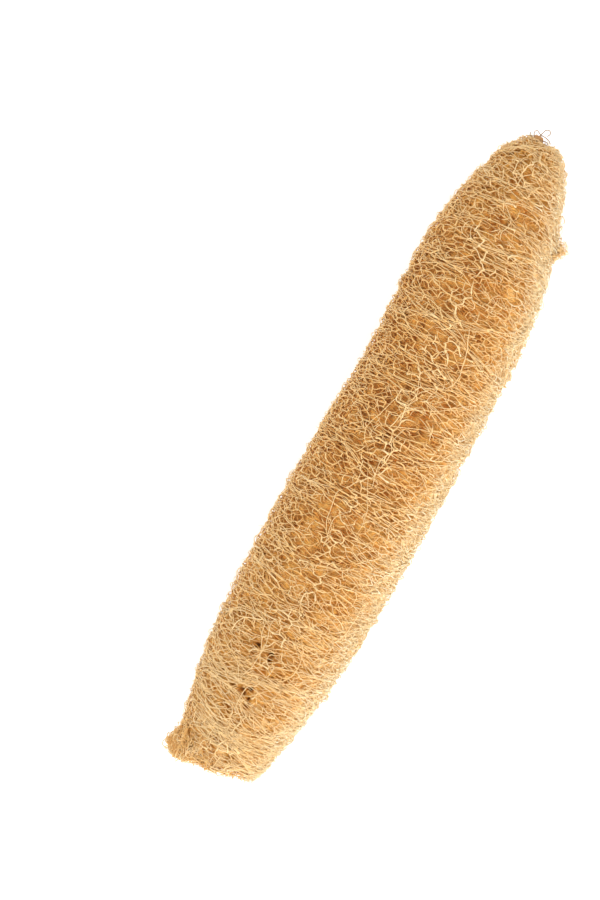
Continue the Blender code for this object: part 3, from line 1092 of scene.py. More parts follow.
class CutSheet(Sheet):
    """The cut face, between the torn rim and the mouths of the seed chambers."""

    JITTER = 0.42
    # How far the net reaches over the rim and over the chambers' mouths.
    RIM_OVERLAP = 1.0
    MOUTH_OVERLAP = 0.6

    def __init__(self, gourd: Gourd) -> None:
        """Sets the face on the grown form."""
        self.gourd = gourd
        self.radius = OUTLINE[0][1] + self.RIM_OVERLAP
        self.side = np.interp(CUT_FACE_PLACE, *gourd.middle)

    def seeds(self, size: float, draw: Draw) -> Array:
        """Seeds in loose rows over the whole face."""
        steps = np.arange(-self.radius - size, self.radius + size, size)
        return loose_grid(steps, steps, size, self.JITTER, draw)

    def holds(self, flat: Array) -> Array:
        """Whether each place is on the face and outside the chambers' mouths."""
        inside = np.linalg.norm(flat, axis=1) < self.radius
        for angle in CHAMBER_ANGLES:
            away = flat + self.middle_gap() - CHAMBER_OFFSET * np.array((math.cos(angle), math.sin(angle)))
            radial = away @ (math.cos(angle), math.sin(angle))
            across = away @ (-math.sin(angle), math.cos(angle))
            halves = CHAMBER_HALF_RADIAL - self.MOUTH_OVERLAP, CHAMBER_HALF_ROUND - self.MOUTH_OVERLAP
            inside &= np.hypot(radial / halves[0], across / halves[1]) > 1
        return inside

    def middle_gap(self) -> Array:
        """From the chambers' axis to the outline's own axis, in Y and Z."""
        return np.array((self.side + FRAME_SHIFT[1], FRAME_SHIFT[2])) - CHAMBER_AXIS

    def scale(self, flat: Array) -> Array:
        """One millimetre each way."""
        return np.ones_like(flat)

    def place(self, flat: Array, lift: Array) -> Array:
        """The points of the frame. A lift is towards the outside, which is -X."""
        angle = np.arctan2(flat[..., 1], flat[..., 0])
        radius = np.linalg.norm(flat, axis=-1)
        x = CUT_FACE_PLACE + waves(angle, RIM_WAVES) * (radius / self.radius) ** 2 - lift
        return np.stack((x, self.side + flat[..., 0], HEIGHT_SHARE * flat[..., 1]), -1) + FRAME_SHIFT


class ChamberSheet(RoundSheet):
    """The wall of one seed chamber, as far in as the light reaches."""

    ANGLE_MARGIN = 1.6
    JITTER = 0.4
    # How much longer a mesh is along the chamber than round it.
    STRETCH = 1.6
    # How far the net stands off the wall, and how far in it goes.
    INSET = 0.4
    REACH = 58.0

    def __init__(self, turn: float) -> None:
        """Sets the wall of the chamber that lies at that angle round the gourd's axis."""
        self.turn = turn
        self.halves = CHAMBER_HALF_RADIAL - self.INSET, CHAMBER_HALF_ROUND - self.INSET
        self.size = sum(self.halves) / 2
        super().__init__(self.REACH / self.size / self.STRETCH)

    def seeds(self, round_: float, draw: Draw) -> Array:
        """Seeds in loose rows round the wall."""
        step = round_ / self.size
        rows, columns = np.arange(0, self.full, step), np.arange(-math.pi, math.pi, step)
        return loose_grid(rows, columns, step, self.JITTER, draw)

    def scale(self, flat: Array) -> Array:
        """How many millimetres one unit of each flat coordinate is."""
        return np.broadcast_to((self.size * self.STRETCH, self.size), flat.shape)

    def place(self, flat: Array, lift: Array) -> Array:
        """The points of the frame. A lift is towards the chamber's middle."""
        radial = CHAMBER_OFFSET + (self.halves[0] - lift) * np.cos(flat[..., 1])
        across = (self.halves[1] - lift) * np.sin(flat[..., 1])
        y = CHAMBER_AXIS[0] + radial * math.cos(self.turn) - across * math.sin(self.turn)
        z = CHAMBER_AXIS[1] + radial * math.sin(self.turn) + across * math.cos(self.turn)
        x = FRAME_SHIFT[0] + CUT_FACE_PLACE + flat[..., 0] * self.size * self.STRETCH
        return np.stack((x, y, z), -1)


class Web:
    """A net grown from seeds: its joints, and the strands between them with the way they lean at each end."""

    # How far the third strand of a joint leans along the two that run straight through, and how strongly each
    # strand keeps its lean at the ends.
    MERGE = 0.9
    PULL = 1.1
    # Distances and areas under this count as nothing.
    TINY = 1e-9

    def __init__(self, sheet: Sheet, seeds: Array, draw: Draw) -> None:
        """Grows the net.

        Args:
            sheet: the surface that it grows on.
            seeds: the middle of each mesh, in flat coordinates.
            draw: the random draws.
        """
        self.sheet = sheet
        points, owners = sheet.echoes(seeds)
        spots = [Vector(point) for point in points.tolist()]
        _, _, triangles, origins, _, _ = delaunay_2d_cdt(spots, [], [], 0, self.TINY)
        source = np.array([origin[0] for origin in origins])
        corners = source[np.array(triangles)]
        self.joints = self.circle_centres(points[corners])
        self.luck = np.sum(draw.uniform(0.0, 1.0, len(seeds))[owners[corners]], axis=1) % 1.0
        sides = np.sort(np.stack((corners, np.roll(corners, -1, axis=1)), -1).reshape(-1, 2), axis=1)
        key = sides[:, 0] * len(points) + sides[:, 1]
        order = np.argsort(key, kind="stable")
        twice = key[order][1:] == key[order][:-1]
        first, second = order[:-1][twice], order[1:][twice]
        lean = self.leans(first, second)
        start, end = first // 3, second // 3
        middle = (self.joints[start] + self.joints[end]) / 2
        kept = sheet.holds(middle)
        self.ends = np.stack((start, end), -1)[kept]
        self.lean = np.stack((lean[first], lean[second]), 1)[kept]

    @classmethod
    def circle_centres(cls, corners: Array) -> Array:
        """The middle of the circle through the three corners of each triangle."""
        a = corners[:, 0]
        ab, ac = corners[:, 1] - a, corners[:, 2] - a
        double_area = 2 * (ab[:, 0] * ac[:, 1] - ab[:, 1] * ac[:, 0])
        double_area = np.where(np.abs(double_area) < cls.TINY, cls.TINY, double_area)
        ab_squared, ac_squared = np.sum(ab**2, axis=1), np.sum(ac**2, axis=1)
        x = (ac[:, 1] * ab_squared - ab[:, 1] * ac_squared) / double_area
        y = (ab[:, 0] * ac_squared - ac[:, 0] * ab_squared) / double_area
        return a + np.stack((x, y), -1)

    def leans(self, first: Array, second: Array) -> Array:
        """The direction in which each strand leaves each joint.

        Two strands of a joint run straight through it, and the third merges with them, as grown fibre does.

        Args:
            first: for each strand, its number among the joints' sides at one end, three to a joint.
            second: its number at the other end.

        Returns:
            A direction in millimetres for each of the joints' sides.
        """
        out = np.zeros((3 * len(self.joints), 2))
        step = self.joints[second // 3] - self.joints[first // 3]
        out[first] = unit(step * self.sheet.scale(self.joints[first // 3]))
        out[second] = unit(-step * self.sheet.scale(self.joints[second // 3]))
        out = out.reshape(-1, 3, 2)
        match = np.sum(out * np.roll(out, -1, axis=1), axis=2)
        pick = np.argmin(match, axis=1)
        joint = np.arange(len(out))
        ahead, back, third = (out[joint, (pick + step) % 3] for step in range(3))
        through = unit(ahead - back)
        toward = np.sign(np.sum(third * through, axis=1, keepdims=True))
        merged = np.empty_like(out)
        merged[joint, pick] = through
        merged[joint, (pick + 1) % 3] = -through
        merged[joint, (pick + 2) % 3] = unit(third + self.MERGE * toward * through)
        return merged.reshape(-1, 2)

    def spans(self) -> Array:
        """From joint to joint, each strand's span in millimetres."""
        start, end = self.joints[self.ends[:, 0]], self.joints[self.ends[:, 1]]
        return (end - start) * self.sheet.scale((start + end) / 2)

    def curves(self, picked: Array, segments: int, sway: Array) -> Array:
        """The strands as curves in flat coordinates.

        Args:
            picked: the numbers of the strands to draw.
            segments: how many steps each takes.
            sway: how far each bends aside, in millimetres.

        Returns:
            The points of each curve, one a row.
        """
        t = shares(segments)[..., None]
        joints = self.joints[self.ends[picked]]
        scale = self.sheet.scale(joints.reshape(-1, 2)).reshape(joints.shape)
        span = self.spans()[picked]
        length = np.linalg.norm(span, axis=1)[:, None, None] * self.PULL
        lean = self.lean[picked] * length / scale
        start, end = joints[:, None, 0], joints[:, None, 1]
        leave, reach = lean[:, None, 0], -lean[:, None, 1]
        curve = (
            (2 * t**3 - 3 * t**2 + 1) * start
            + (t**3 - 2 * t**2 + t) * leave
            + (3 * t**2 - 2 * t**3) * end
            + (t**3 - t**2) * reach
        )
        aside = unit(np.stack((-span[:, 1], span[:, 0]), -1)) * sway[:, None]
        return curve + np.sin(math.pi * t) * (aside / scale.mean(axis=1))[:, None]


class Layer(Enum):
    """The layers of net, from the outside in."""

    BAND = "band"
    OUTER = "outer"
    MIDDLE = "middle"
    DEEP = "deep"


@dataclass
class FibreNet:
    """One layer of net over the whole gourd."""

    layer: Layer
    finish: FibreFinish
    seed: int
    depth: float
    along: float
    round_: float
    thickness: float
    segments: int
    tone: float
    pieces: int
    # How much paler the strands are painted, as light, on the key-lit side and behind the cut.
    paling: float = 0.5
    webbing: float = 0.5
    variety: float = 0.26
    # How much thinner the strands are on the key-lit side.
    fineness: float = 0.32
    # How much higher the deeper layers lie there, as a share of their depth.
    raised: float = 0.3
    # How far the strands pass over and under each other, their arch as a share of that, and their sway.
    weave: float = 0.45
    arch: float = 0.7
    sway: float = 0.22
    # How far a strand's loose end dives into the net, and how much thinner it is there.
    dive: float = 1.3
    fraying: float = 0.75
    # The least and the greatest thickness of a strand, as a share of the usual one.
    size_limits: Row = (0.6, 1.9)
    # How much the tone rises for a millimetre of height, so that deeper strands are darker as painted shade,
    # and how far it strays.
    height_tone: float = 0.35
    tone_spread: float = 0.14
    missing: float = 0.07
    jitter: float = 0.42
    band_missing: float = 0.25
    spot_missing: float = 1.6
    # The shortest strand, in millimetres, and the longest, in meshes.
    shortest: float = 0.5
    longest: float = 4.0
    # Whether strands grow in the bands of round meshes alone, and how many of them do.
    only_bands: bool = False
    band_grown: float = 0.9

    def build(self, gourd: Gourd) -> list[Piece]:
        """Grows the layer.

        Args:
            gourd: the form that it covers.

        Returns:
            Its pieces, split along the gourd.
        """
        draw = np.random.default_rng(self.seed)
        sheet = SkinSheet(gourd, self.round_ / self.along)
        web = Web(sheet, sheet.seeds(self.along, self.round_, self.jitter, draw), draw)
        picked = self.kept(gourd, sheet, web, draw)
        flat = web.curves(picked, self.segments, draw.normal(0.0, self.sway, len(picked)))
        ends = -self.depth + self.weave * (2 * web.luck[web.ends[picked]] - 1)
        t = shares(self.segments)
        arch = draw.normal(0.0, self.weave * self.arch, (len(picked), 1)) * np.sin(math.pi * t)
        loose = np.bincount(web.ends[picked].ravel(), minlength=len(web.joints))[web.ends[picked]] == 1
        frayed = np.maximum(loose[:, :1] * (1 - t) ** 2, loose[:, 1:] * t**2)
        lift = ends[:, :1] * (1 - t) + ends[:, 1:] * t + arch - self.dive * frayed
        size = np.clip(np.exp(draw.normal(0.0, self.variety, (len(picked), 1))), *self.size_limits)
        pale = gourd.lit_pale(sheet.run_at(flat), flat[..., 1])
        webbed = (1 + self.webbing * (2 * t - 1) ** 4) * (1 - self.fraying * frayed)
        radius = self.thickness * size * webbed * (1 - self.fineness * pale)
        tone = self.tone + self.height_tone * (lift + self.depth)
        tone = tone + draw.normal(0.0, self.tone_spread, (len(picked), 1)) + self.paling * pale
        points = sheet.place(flat, lift + self.raised * self.depth * np.maximum(pale, 0.0))
        order = np.argsort(points[:, :, 0].mean(axis=1), kind="stable")
        material = self.finish.material()
        made = []
        for number, mine in enumerate(np.array_split(order, self.pieces), 1):
            fibres = Fibres()
            fibres.add(points[mine], radius[mine], tone[mine])
            made.append(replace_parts(fibres.write(f"{self.layer.value}_net_{number}", material), NODE))
        return made

    def kept(self, gourd: Gourd, sheet: SkinSheet, web: Web, draw: Draw) -> Array:
        """Picks the strands that grew: some are missing everywhere, more in the bands and the thin spots.

        Args:
            gourd: the form that the net covers.
            sheet: its unrolled skin.
            web: the whole net.
            draw: the random draws.

        Returns:
            The numbers of the strands that are there.
        """
        span = web.spans()
        length = np.linalg.norm(span, axis=1)
        middle = web.joints[web.ends].mean(axis=1)
        run, angle = sheet.run_at(middle), middle[:, 1]
        chance = np.full(len(span), 1.0 if self.only_bands else self.missing)
        round_share = np.abs(span[:, 1]) / np.maximum(length, 1e-6)
        for band, half_width in ROUND_BANDS:
            inside = bell(turn_between(angle, band) / half_width)
            rounded = self.band_missing * inside * round_share
            chance += -self.band_grown * inside if self.only_bands else rounded
        spots = gourd.spots(gourd.drifted(run, angle), angle, (*DARK_SPOTS, *OPEN_SPOTS))
        chance += self.spot_missing * spots
        grown = draw.uniform(0.0, 1.0, len(span)) > chance
        return np.flatnonzero(grown & (length > self.shortest) & (length < self.longest * self.round_))


@dataclass
class WrapStrands:
    """Long fibres that run round the gourd over the net, and dive into it at both ends."""

    seed: int = 41
    # How many lie all round the gourd, how far from its ends, and how many more on two sides.
    count: int = 520
    margins: Row = (4.0, 14.0)
    side_count: int = 480
    side_angle: float = math.radians(168.0)
    side_spread: float = math.radians(30.0)
    left_count: int = 170
    left_angle: float = math.radians(24.0)
    left_spread: float = math.radians(15.0)
    # More of them near the cut end, on the side of the lip.
    end_count: int = 210
    end_run: Row = (6.0, 62.0)
    end_angle: Row = (math.radians(10.0), math.radians(125.0))
    segments: int = 12
    lengths: Row = (12.0, 44.0)
    # How far their headings stray from straight round, and how far they turn at a step.
    heading_spread: float = 0.13
    wander: float = 0.09
    # How deep their ends lie, how far they rise from there and how steeply, and how unevenly.
    sink: float = 1.8
    rise: Row = (1.3, 2.0)
    steepness: float = 5.0
    sway: float = 0.2
    # Their radius, how far it differs, its share at the ends, and how much less it is on the key-lit side.
    thickness: float = 0.22
    variety: Row = (0.7, 1.3)
    tip_share: float = 0.6
    fineness: float = 0.35
    # Their tone at the ends, which dive into the net and are darker as painted shade, how far it rises to the
    # middle, how far it strays, and how much paler they are painted, as light, on the key-lit side and behind
    # the cut.
    tone: float = 0.25
    tone_rise: float = 0.4
    tone_spread: float = 0.2
    paling: float = 0.7
    # They keep clear of the thin spots, and of the middle of the openings.
    spot_limit: float = 0.5
    open_share: float = 0.65

    def build(self, gourd: Gourd) -> Piece:
        """Lays the fibres.

        Args:
            gourd: the form that they wrap.

        Returns:
            The piece.
        """
        draw = np.random.default_rng(self.seed)
        total = self.count + self.side_count + self.left_count + self.end_count
        run = draw.uniform(self.margins[0], gourd.length - self.margins[1], total)
        run[-self.end_count :] = draw.uniform(*self.end_run, self.end_count)
        angle = draw.uniform(-math.pi, math.pi, self.count)
        side = draw.normal(self.side_angle, self.side_spread, self.side_count)
        left = draw.normal(self.left_angle, self.left_spread, self.left_count)
        angle = np.concatenate((angle, side, left, draw.uniform(*self.end_angle, self.end_count)))
        heading = draw.normal(0.0, self.heading_spread, total) + math.pi * draw.integers(0, 2, total)
        length = draw.uniform(*self.lengths, total)
        turns = draw.normal(0.0, self.wander, (total, self.segments))
        runs, angles = gourd.walk(run, angle, heading, length, self.segments, turns)
        runs = gourd.drifted(runs, angles)
        spots = gourd.spots(runs, angles, DARK_SPOTS)
        spots = spots + self.open_share * gourd.spots(runs, angles, OPEN_SPOTS)
        clear = np.flatnonzero(spots.max(axis=1) < self.spot_limit)
        runs, angles = runs[clear], angles[clear]
        each = (len(clear), 1)
        out = surfacing(shares(self.segments), self.steepness)
        sway = draw.normal(0.0, self.sway, runs.shape)
        lift = -self.sink + out * draw.uniform(*self.rise, each) + sway * out
        pale = gourd.lit_pale(runs, angles)
        radius = self.thickness * draw.uniform(*self.variety, each) * (1 - self.fineness * pale)
        radius = radius * (self.tip_share + (1 - self.tip_share) * out)
        tone = self.tone + self.tone_rise * out + draw.normal(0.0, self.tone_spread, each)
        tone = tone + self.paling * pale
        fibres = Fibres()
        fibres.add(gourd.place(runs, angles, lift), radius, tone)
        return fibres.write("wrap_strands", PALE_FIBRE.material())


@dataclass
class LengthVeins:
    """Thicker fibres that run along the gourd and fork, and the stray ones that show from above."""

    seed: int = 52
    count: int = 34
    segments: int = 18
    # How far from the gourd's ends they start, how long they are, and how far they stray round it.
    margins: Row = (10.0, 60.0)
    lengths: Row = (14.0, 44.0)
    spread: float = 0.3
    heading_spread: float = 0.25
    wander: float = 0.2
    # How deep their ends lie, how far they rise from there and how steeply, and how unevenly.
    sink: float = 2.0
    rise: float = 2.25
    steepness: float = 6.0
    sway: float = 0.18
    # Their radius, how far it differs, and its share at the ends.
    thickness: float = 0.26
    variety: Row = (0.7, 1.25)
    tip_share: float = 0.45
    # Their tone at the ends, which dive into the net and are darker as painted shade, how far it rises to the
    # middle, and how far it strays.
    tone: float = 0.3
    tone_rise: float = 0.5
    tone_spread: float = 0.12
    # The forks: how many steps from a vein's ends they leave it, how they turn there and at each step.
    fork_count: int = 50
    fork_segments: int = 8
    fork_margin: int = 3
    fork_headings: Row = (0.5, 1.2)
    fork_lengths: Row = (7.0, 20.0)
    fork_turn: float = 0.16
    fork_share: float = 0.85
    # The stray ones: the steps between two bends, their radius, how deep their ends lie, and how they arch.
    stray_steps: int = 4
    stray_radius: float = 0.2
    stray_sink: float = 1.6
    stray_rise: float = 4.0
    stray_lift: float = 0.5

    def build(self, gourd: Gourd) -> Piece:
        """Lays the veins.

        Args:
            gourd: the form that they lie on.

        Returns:
            The piece.
        """
        draw = np.random.default_rng(self.seed)
        fibres = Fibres()
        bands = np.array([band for band, _ in ROUND_BANDS])
        angle = bands[draw.integers(0, len(bands), self.count)] + draw.normal(0.0, self.spread, self.count)
        run = draw.uniform(self.margins[0], gourd.length - self.margins[1], self.count)
        heading = math.pi / 2 + draw.normal(0.0, self.heading_spread, self.count)
        length = draw.uniform(*self.lengths, self.count)
        turns = draw.normal(0.0, self.wander, (self.count, self.segments))
        runs, angles = gourd.walk(run, angle, heading, length, self.segments, turns)
        self.lay(fibres, gourd, runs, angles, self.thickness, draw)
        pick = draw.integers(0, self.count, self.fork_count)
        at = draw.integers(self.fork_margin, self.segments - self.fork_margin, self.fork_count)
        side = draw.choice((-1.0, 1.0), self.fork_count)
        heading = math.pi / 2 + side * draw.uniform(*self.fork_headings, self.fork_count)
        length = draw.uniform(*self.fork_lengths, self.fork_count)
        turns = side[:, None] * draw.uniform(0.0, self.fork_turn, (self.fork_count, self.fork_segments))
        forks = gourd.walk(runs[pick, at], angles[pick, at], heading, length, self.fork_segments, turns)
        self.lay(fibres, gourd, *forks, self.thickness * self.fork_share, draw)
        for bends in STRAY_STRANDS:
            x, y = smooth_points(bends, self.stray_steps).T
            rise = self.stray_rise * np.sin(np.linspace(0.0, math.pi, len(x))) ** 0.6
            points = gourd.place(*gourd.under(x, y), np.minimum(rise - self.stray_sink, self.stray_lift))
            fibres.add(points[None], self.stray_radius, 1.0)
        return fibres.write("length_veins", PALE_FIBRE.material())

    def lay(
        self, fibres: Fibres, gourd: Gourd, runs: Array, angles: Array, thickness: float, draw: Draw
    ) -> None:
        """Adds veins along paths of the skin.

        Args:
            fibres: what they are added to.
            gourd: the form that they lie on.
            runs: the runs of their points.
            angles: the angles of their points.
            thickness: their radius.
            draw: the random draws.
        """
        each = (len(runs), 1)
        out = surfacing(shares(runs.shape[1] - 1), self.steepness)
        lift = -self.sink + self.rise * out + draw.normal(0.0, self.sway, runs.shape)
        radius = thickness * draw.uniform(*self.variety, each) * (self.tip_share + (1 - self.tip_share) * out)
        tone = self.tone + self.tone_rise * out + draw.normal(0.0, self.tone_spread, each)
        fibres.add(gourd.place(gourd.drifted(runs, angles), angles, lift), radius, tone)


@dataclass
class Fuzz:
    """Small loops and loose ends that stand out of the net and soften its outline."""

    seed: int = 63
    # Each kind's ends lie so deep, and it rises so high over the skin. A loop's radius is between two sizes.
    loops: Tuft = Tuft(1500, 5, lengths=(2.5, 6.5), unrest=0.28, radius=(0.15, 0.24))
    loop_sink: float = 0.4
    loop_rise: Row = (0.5, 1.6)
    loop_tones: Row = (0.6, 0.9)
    hairs: Tuft = Tuft(1100, 3, lengths=(1.5, 4.5), unrest=0.2, radius=(0.2, 0.1))
    hair_sink: float = 0.3
    hair_rise: Row = (0.5, 2.0)
    hair_tone: float = 0.8
    # How far they keep from the gourd's ends, what they cover round it, and how far they stray from round.
    margin: float = 3.0
    angles: Row = (-0.28 * math.pi, 1.28 * math.pi)
    heading_spread: float = 0.8

    def build(self, gourd: Gourd) -> Piece:
        """Adds the loops and the hairs.

        Args:
            gourd: the form that they grow from.

        Returns:
            The piece.
        """
        draw = np.random.default_rng(self.seed)
        fibres = Fibres()
        t = shares(self.loops.segments)
        runs, angles = self.paths(gourd, self.loops, draw)
        rise = draw.uniform(*self.loop_rise, (self.loops.count, 1))
        lift = -self.loop_sink + (self.loop_sink + rise) * np.sin(math.pi * t)
        radius = draw.uniform(*self.loops.radius, (self.loops.count, 1))
        low, high = self.loop_tones
        fibres.add(gourd.place(runs, angles, lift), radius, low + (high - low) * t)
        t = shares(self.hairs.segments)
        runs, angles = self.paths(gourd, self.hairs, draw)
        lift = -self.hair_sink + draw.uniform(*self.hair_rise, (self.hairs.count, 1)) * t**1.3
        radius = self.hairs.radii(self.hairs.count, draw)
        fibres.add(gourd.place(runs, angles, lift), radius, self.hair_tone)
        return fibres.write("surface_fuzz", PALE_FIBRE.material())

    def paths(self, gourd: Gourd, kind: Tuft, draw: Draw) -> Pair:
        """Short paths all over the skin, more of them round it than along it."""
        run = draw.uniform(self.margin, gourd.length - self.margin, kind.count)
        angle = draw.uniform(*self.angles, kind.count)
        heading = draw.normal(0.0, self.heading_spread, kind.count)
        heading = heading + math.pi * draw.integers(0, 2, kind.count)
        turns = draw.normal(0.0, kind.unrest, (kind.count, kind.segments))
        length = draw.uniform(*kind.lengths, kind.count)
        return gourd.walk(run, angle, heading, length, kind.segments, turns)


@dataclass
class TornRim:
    """The frayed edge of the cut end, with the felted lip that was torn outwards."""

    seed: int = 74
    # The frays: how far in they start, how deep, how far they point aside, their tone, and how much paler
    # they are painted, as light, on the key-lit side and behind the cut.
    frays: Tuft = Tuft(420, 7, (1.0, 4.5), curls=(0.2, 1.1), unrest=0.12, wildness=0.45, radius=(0.24, 0.1))
    fray_runs: Row = (1.0, 5.0)
    fray_sink: float = 0.2
    fray_side: float = 0.5
    fray_tone: float = 0.6
    fray_paling: float = 1.2
    # The felt, whose radius is between two sizes: its spread along and round the gourd, curl, lift and tone.
    matted: Tuft = Tuft(850, 7, (4.0, 11.0), unrest=0.22, radius=(0.15, 0.24))
    mat_reach: float = 6.0
    mat_start: float = 0.5
    mat_spread: float = 0.4
    mat_curl: float = 0.45
    mat_lift: float = 0.5
    mat_sway: float = 0.25
    mat_tone: float = 0.62
    # The felt's tone rises by this much for a millimetre of lift, so that lower felt is darker as painted
    # shade.
    height_tone: float = 0.4
    tone_spread: float = 0.15
    # The fringe along the lip's edge, and the long curls on the tongue beside it: where they start, which way
    # they point, and their tone.
    fringe: Tuft = Tuft(110, 7, (1.5, 4.5), (0.1, 0.8), 0.12, True, wildness=0.45, radius=(0.2, 0.08))
    fringe_runs: Row = (1.0, 9.0)
    fringe_spread: float = 0.2
    fringe_heading: Triple = (-0.2, 0.9, 0.3)
    fringe_tone: float = 0.9
    curls: Tuft = Tuft(140, 14, (6.0, 12.0), (0.4, 0.95), 0.1, True, wildness=0.7, radius=(0.28, 0.2))
    curl_runs: Row = (0.0, 11.0)
    curl_angles: Row = (-0.7, 0.6)
    curl_lift: Row = (0.2, 0.4)
    curl_heading: Triple = (-0.3, 0.2, 0.4)
    curl_tone: float = 1.25

    def build(self, gourd: Gourd) -> Piece:
        """Frays the rim and felts the lip.

        Args:
            gourd: the form that is torn.

        Returns:
            The piece.
        """
        draw = np.random.default_rng(self.seed)
        fibres = Fibres()
        kind = self.frays
        angle = draw.uniform(-math.pi, math.pi, kind.count)
        run = draw.uniform(*self.fray_runs, kind.count)
        start = gourd.place(run, angle, -self.fray_sink)
        side = self.fray_side * np.cos(angle), self.fray_side * np.sin(angle)
        points = kind.grow(start, np.stack((np.full(kind.count, -1.0), *side), -1), draw)
        points[..., 2] = np.maximum(points[..., 2], PRESSED)
        tone = self.fray_tone + self.fray_paling * gourd.lit_pale(run, angle)[:, None]
        fibres.add(points, kind.radii(kind.count, draw), tone)
        self.felt(fibres, gourd, draw)
        return fibres.write("torn_rim", LIP_FIBRE.material())

    def felt(self, fibres: Fibres, gourd: Gourd, draw: Draw) -> None:
        """Covers the lip with short curly fibre, with a fringe along its edge.

        Args:
            fibres: what it is added to.
            gourd: the form that is torn.
            draw: the random draws.
        """
        kind = self.matted
        each = (kind.count, 1)
        run = np.abs(draw.normal(0.0, self.mat_reach, kind.count)) + self.mat_start
        angle = (LIP_ANGLE + TONGUE_ANGLE) / 2 + draw.normal(0.0, self.mat_spread, kind.count)
        heading = draw.uniform(0.0, FULL_TURN, kind.count)
        curl = draw.normal(0.0, self.mat_curl, each)
        turns = curl + draw.normal(0.0, kind.unrest, (kind.count, kind.segments))
        length = draw.uniform(*kind.lengths, kind.count)
        runs, angles = gourd.walk(run, angle, heading, length, kind.segments, turns)
        lift = draw.normal(0.0, self.mat_lift, each) + draw.normal(0.0, self.mat_sway, runs.shape)
        tone = self.mat_tone + self.height_tone * lift + draw.normal(0.0, self.tone_spread, each)
        fibres.add(gourd.place(runs, angles, lift), draw.uniform(*kind.radius, each), tone)
        angle = LIP_ANGLE + draw.normal(0.0, self.fringe_spread, self.fringe.count)
        start = gourd.place(draw.uniform(*self.fringe_runs, self.fringe.count), angle, 0.0)
        points = self.fringe.grow(start, self.fringe_heading, draw)
        fibres.add(points, self.fringe.radii(self.fringe.count, draw), self.fringe_tone)
        angle = TONGUE_ANGLE + draw.uniform(*self.curl_angles, self.curls.count)
        run = draw.uniform(*self.curl_runs, self.curls.count)
        start = gourd.place(run, angle, draw.normal(*self.curl_lift, self.curls.count))
        points = self.curls.grow(start, self.curl_heading, draw)
        fibres.add(points, self.curls.radii(self.curls.count, draw), self.curl_tone)


@dataclass
class CutFace:
    """The cut end: a felted face between the rim and the chambers, and the nets on the chambers' walls."""

    seed: int = 85
    mesh_size: float = 2.6
    wall_round: float = 3.4
    thickness: float = 0.3
    variety: Row = (0.7, 1.25)
    segments: int = 3
    # The face's two nets lie so far over it, the higher one is the paler and the lower one darker as painted
    # shade, and the walls' tone is their own.
    lifts: Row = (0.2, -0.6)
    face_tone: float = 0.5
    face_height_tone: float = 0.5
    wall_tone: float = 0.7
    # The shortest and the longest strand, how many are missing, and how far they stray aside and in height.
    strands: Row = (0.4, 9.0)
    missing: float = 0.06
    sway: float = 0.2
    weave: float = 0.22
    # Strands that lie lower are darker by this much a millimetre, as painted shade, and the tone strays this
    # far.
    height_tone: float = 0.3
    tone_spread: float = 0.15
    # The ends that the cut left standing, how deep they start, and their tone.
    ends: Tuft = Tuft(420, 3, (0.8, 2.4), curls=(0.2, 0.8), radius=(0.22, 0.13))
    end_sink: float = 0.4
    end_tone: float = 0.8

    def build(self, gourd: Gourd) -> list[Piece]:
        """Grows the nets of the face and the walls, and the cut fibre ends on the face.

        Args:
            gourd: the form that is cut.

        Returns:
            The two pieces.
        """
        draw = np.random.default_rng(self.seed)
        face = Fibres()
        sheet = CutSheet(gourd)
        for lift in self.lifts:
            tone = self.face_tone + self.face_height_tone * lift
            self.net(face, sheet, sheet.seeds(self.mesh_size, draw), lift, tone, draw)
        self.cut_ends(face, sheet, draw)
        walls = Fibres()
        for turn in CHAMBER_ANGLES:
            wall = ChamberSheet(turn)
            self.net(walls, wall, wall.seeds(self.wall_round, draw), 0.0, self.wall_tone, draw)
        made = face.write("cut_face_net", MIDDLE_FIBRE.material())
        return [made, walls.write("chamber_nets", MIDDLE_FIBRE.material())]

    def net(self, fibres: Fibres, sheet: Sheet, seeds: Array, lift: float, tone: float, draw: Draw) -> None:
        """Adds a net on one sheet.

        Args:
            fibres: what it is added to.
            sheet: the surface.
            seeds: the middle of each mesh.
            lift: how far over the surface the net lies.
            tone: its middle tone.
            draw: the random draws.
        """
        web = Web(sheet, seeds, draw)
        length = np.linalg.norm(web.spans(), axis=1)
        grown = draw.uniform(0.0, 1.0, len(length)) > self.missing
        picked = np.flatnonzero((length > self.strands[0]) & (length < self.strands[1]) & grown)
        each = (len(picked), 1)
        flat = web.curves(picked, self.segments, draw.normal(0.0, self.sway, len(picked)))
        lifts = lift + draw.normal(0.0, self.weave, flat.shape[:2])
        radius = self.thickness * draw.uniform(*self.variety, each)
        tones = tone + self.height_tone * (lifts - lift) + draw.normal(0.0, self.tone_spread, each)
        fibres.add(sheet.place(flat, lifts), radius, tones)

    def cut_ends(self, fibres: Fibres, sheet: CutSheet, draw: Draw) -> None:
        """Adds the short ends that the cut left standing on the face."""
        kind = self.ends
        flat = draw.uniform(-sheet.radius, sheet.radius, (3 * kind.count, 2))
        flat = flat[sheet.holds(flat)][: kind.count]
        start = sheet.place(flat, np.full(len(flat), -self.end_sink))
        points = kind.grow(start, (-1.0, 0.0, 0.0), draw)
        fibres.add(points, kind.radii(len(flat), draw), self.end_tone)


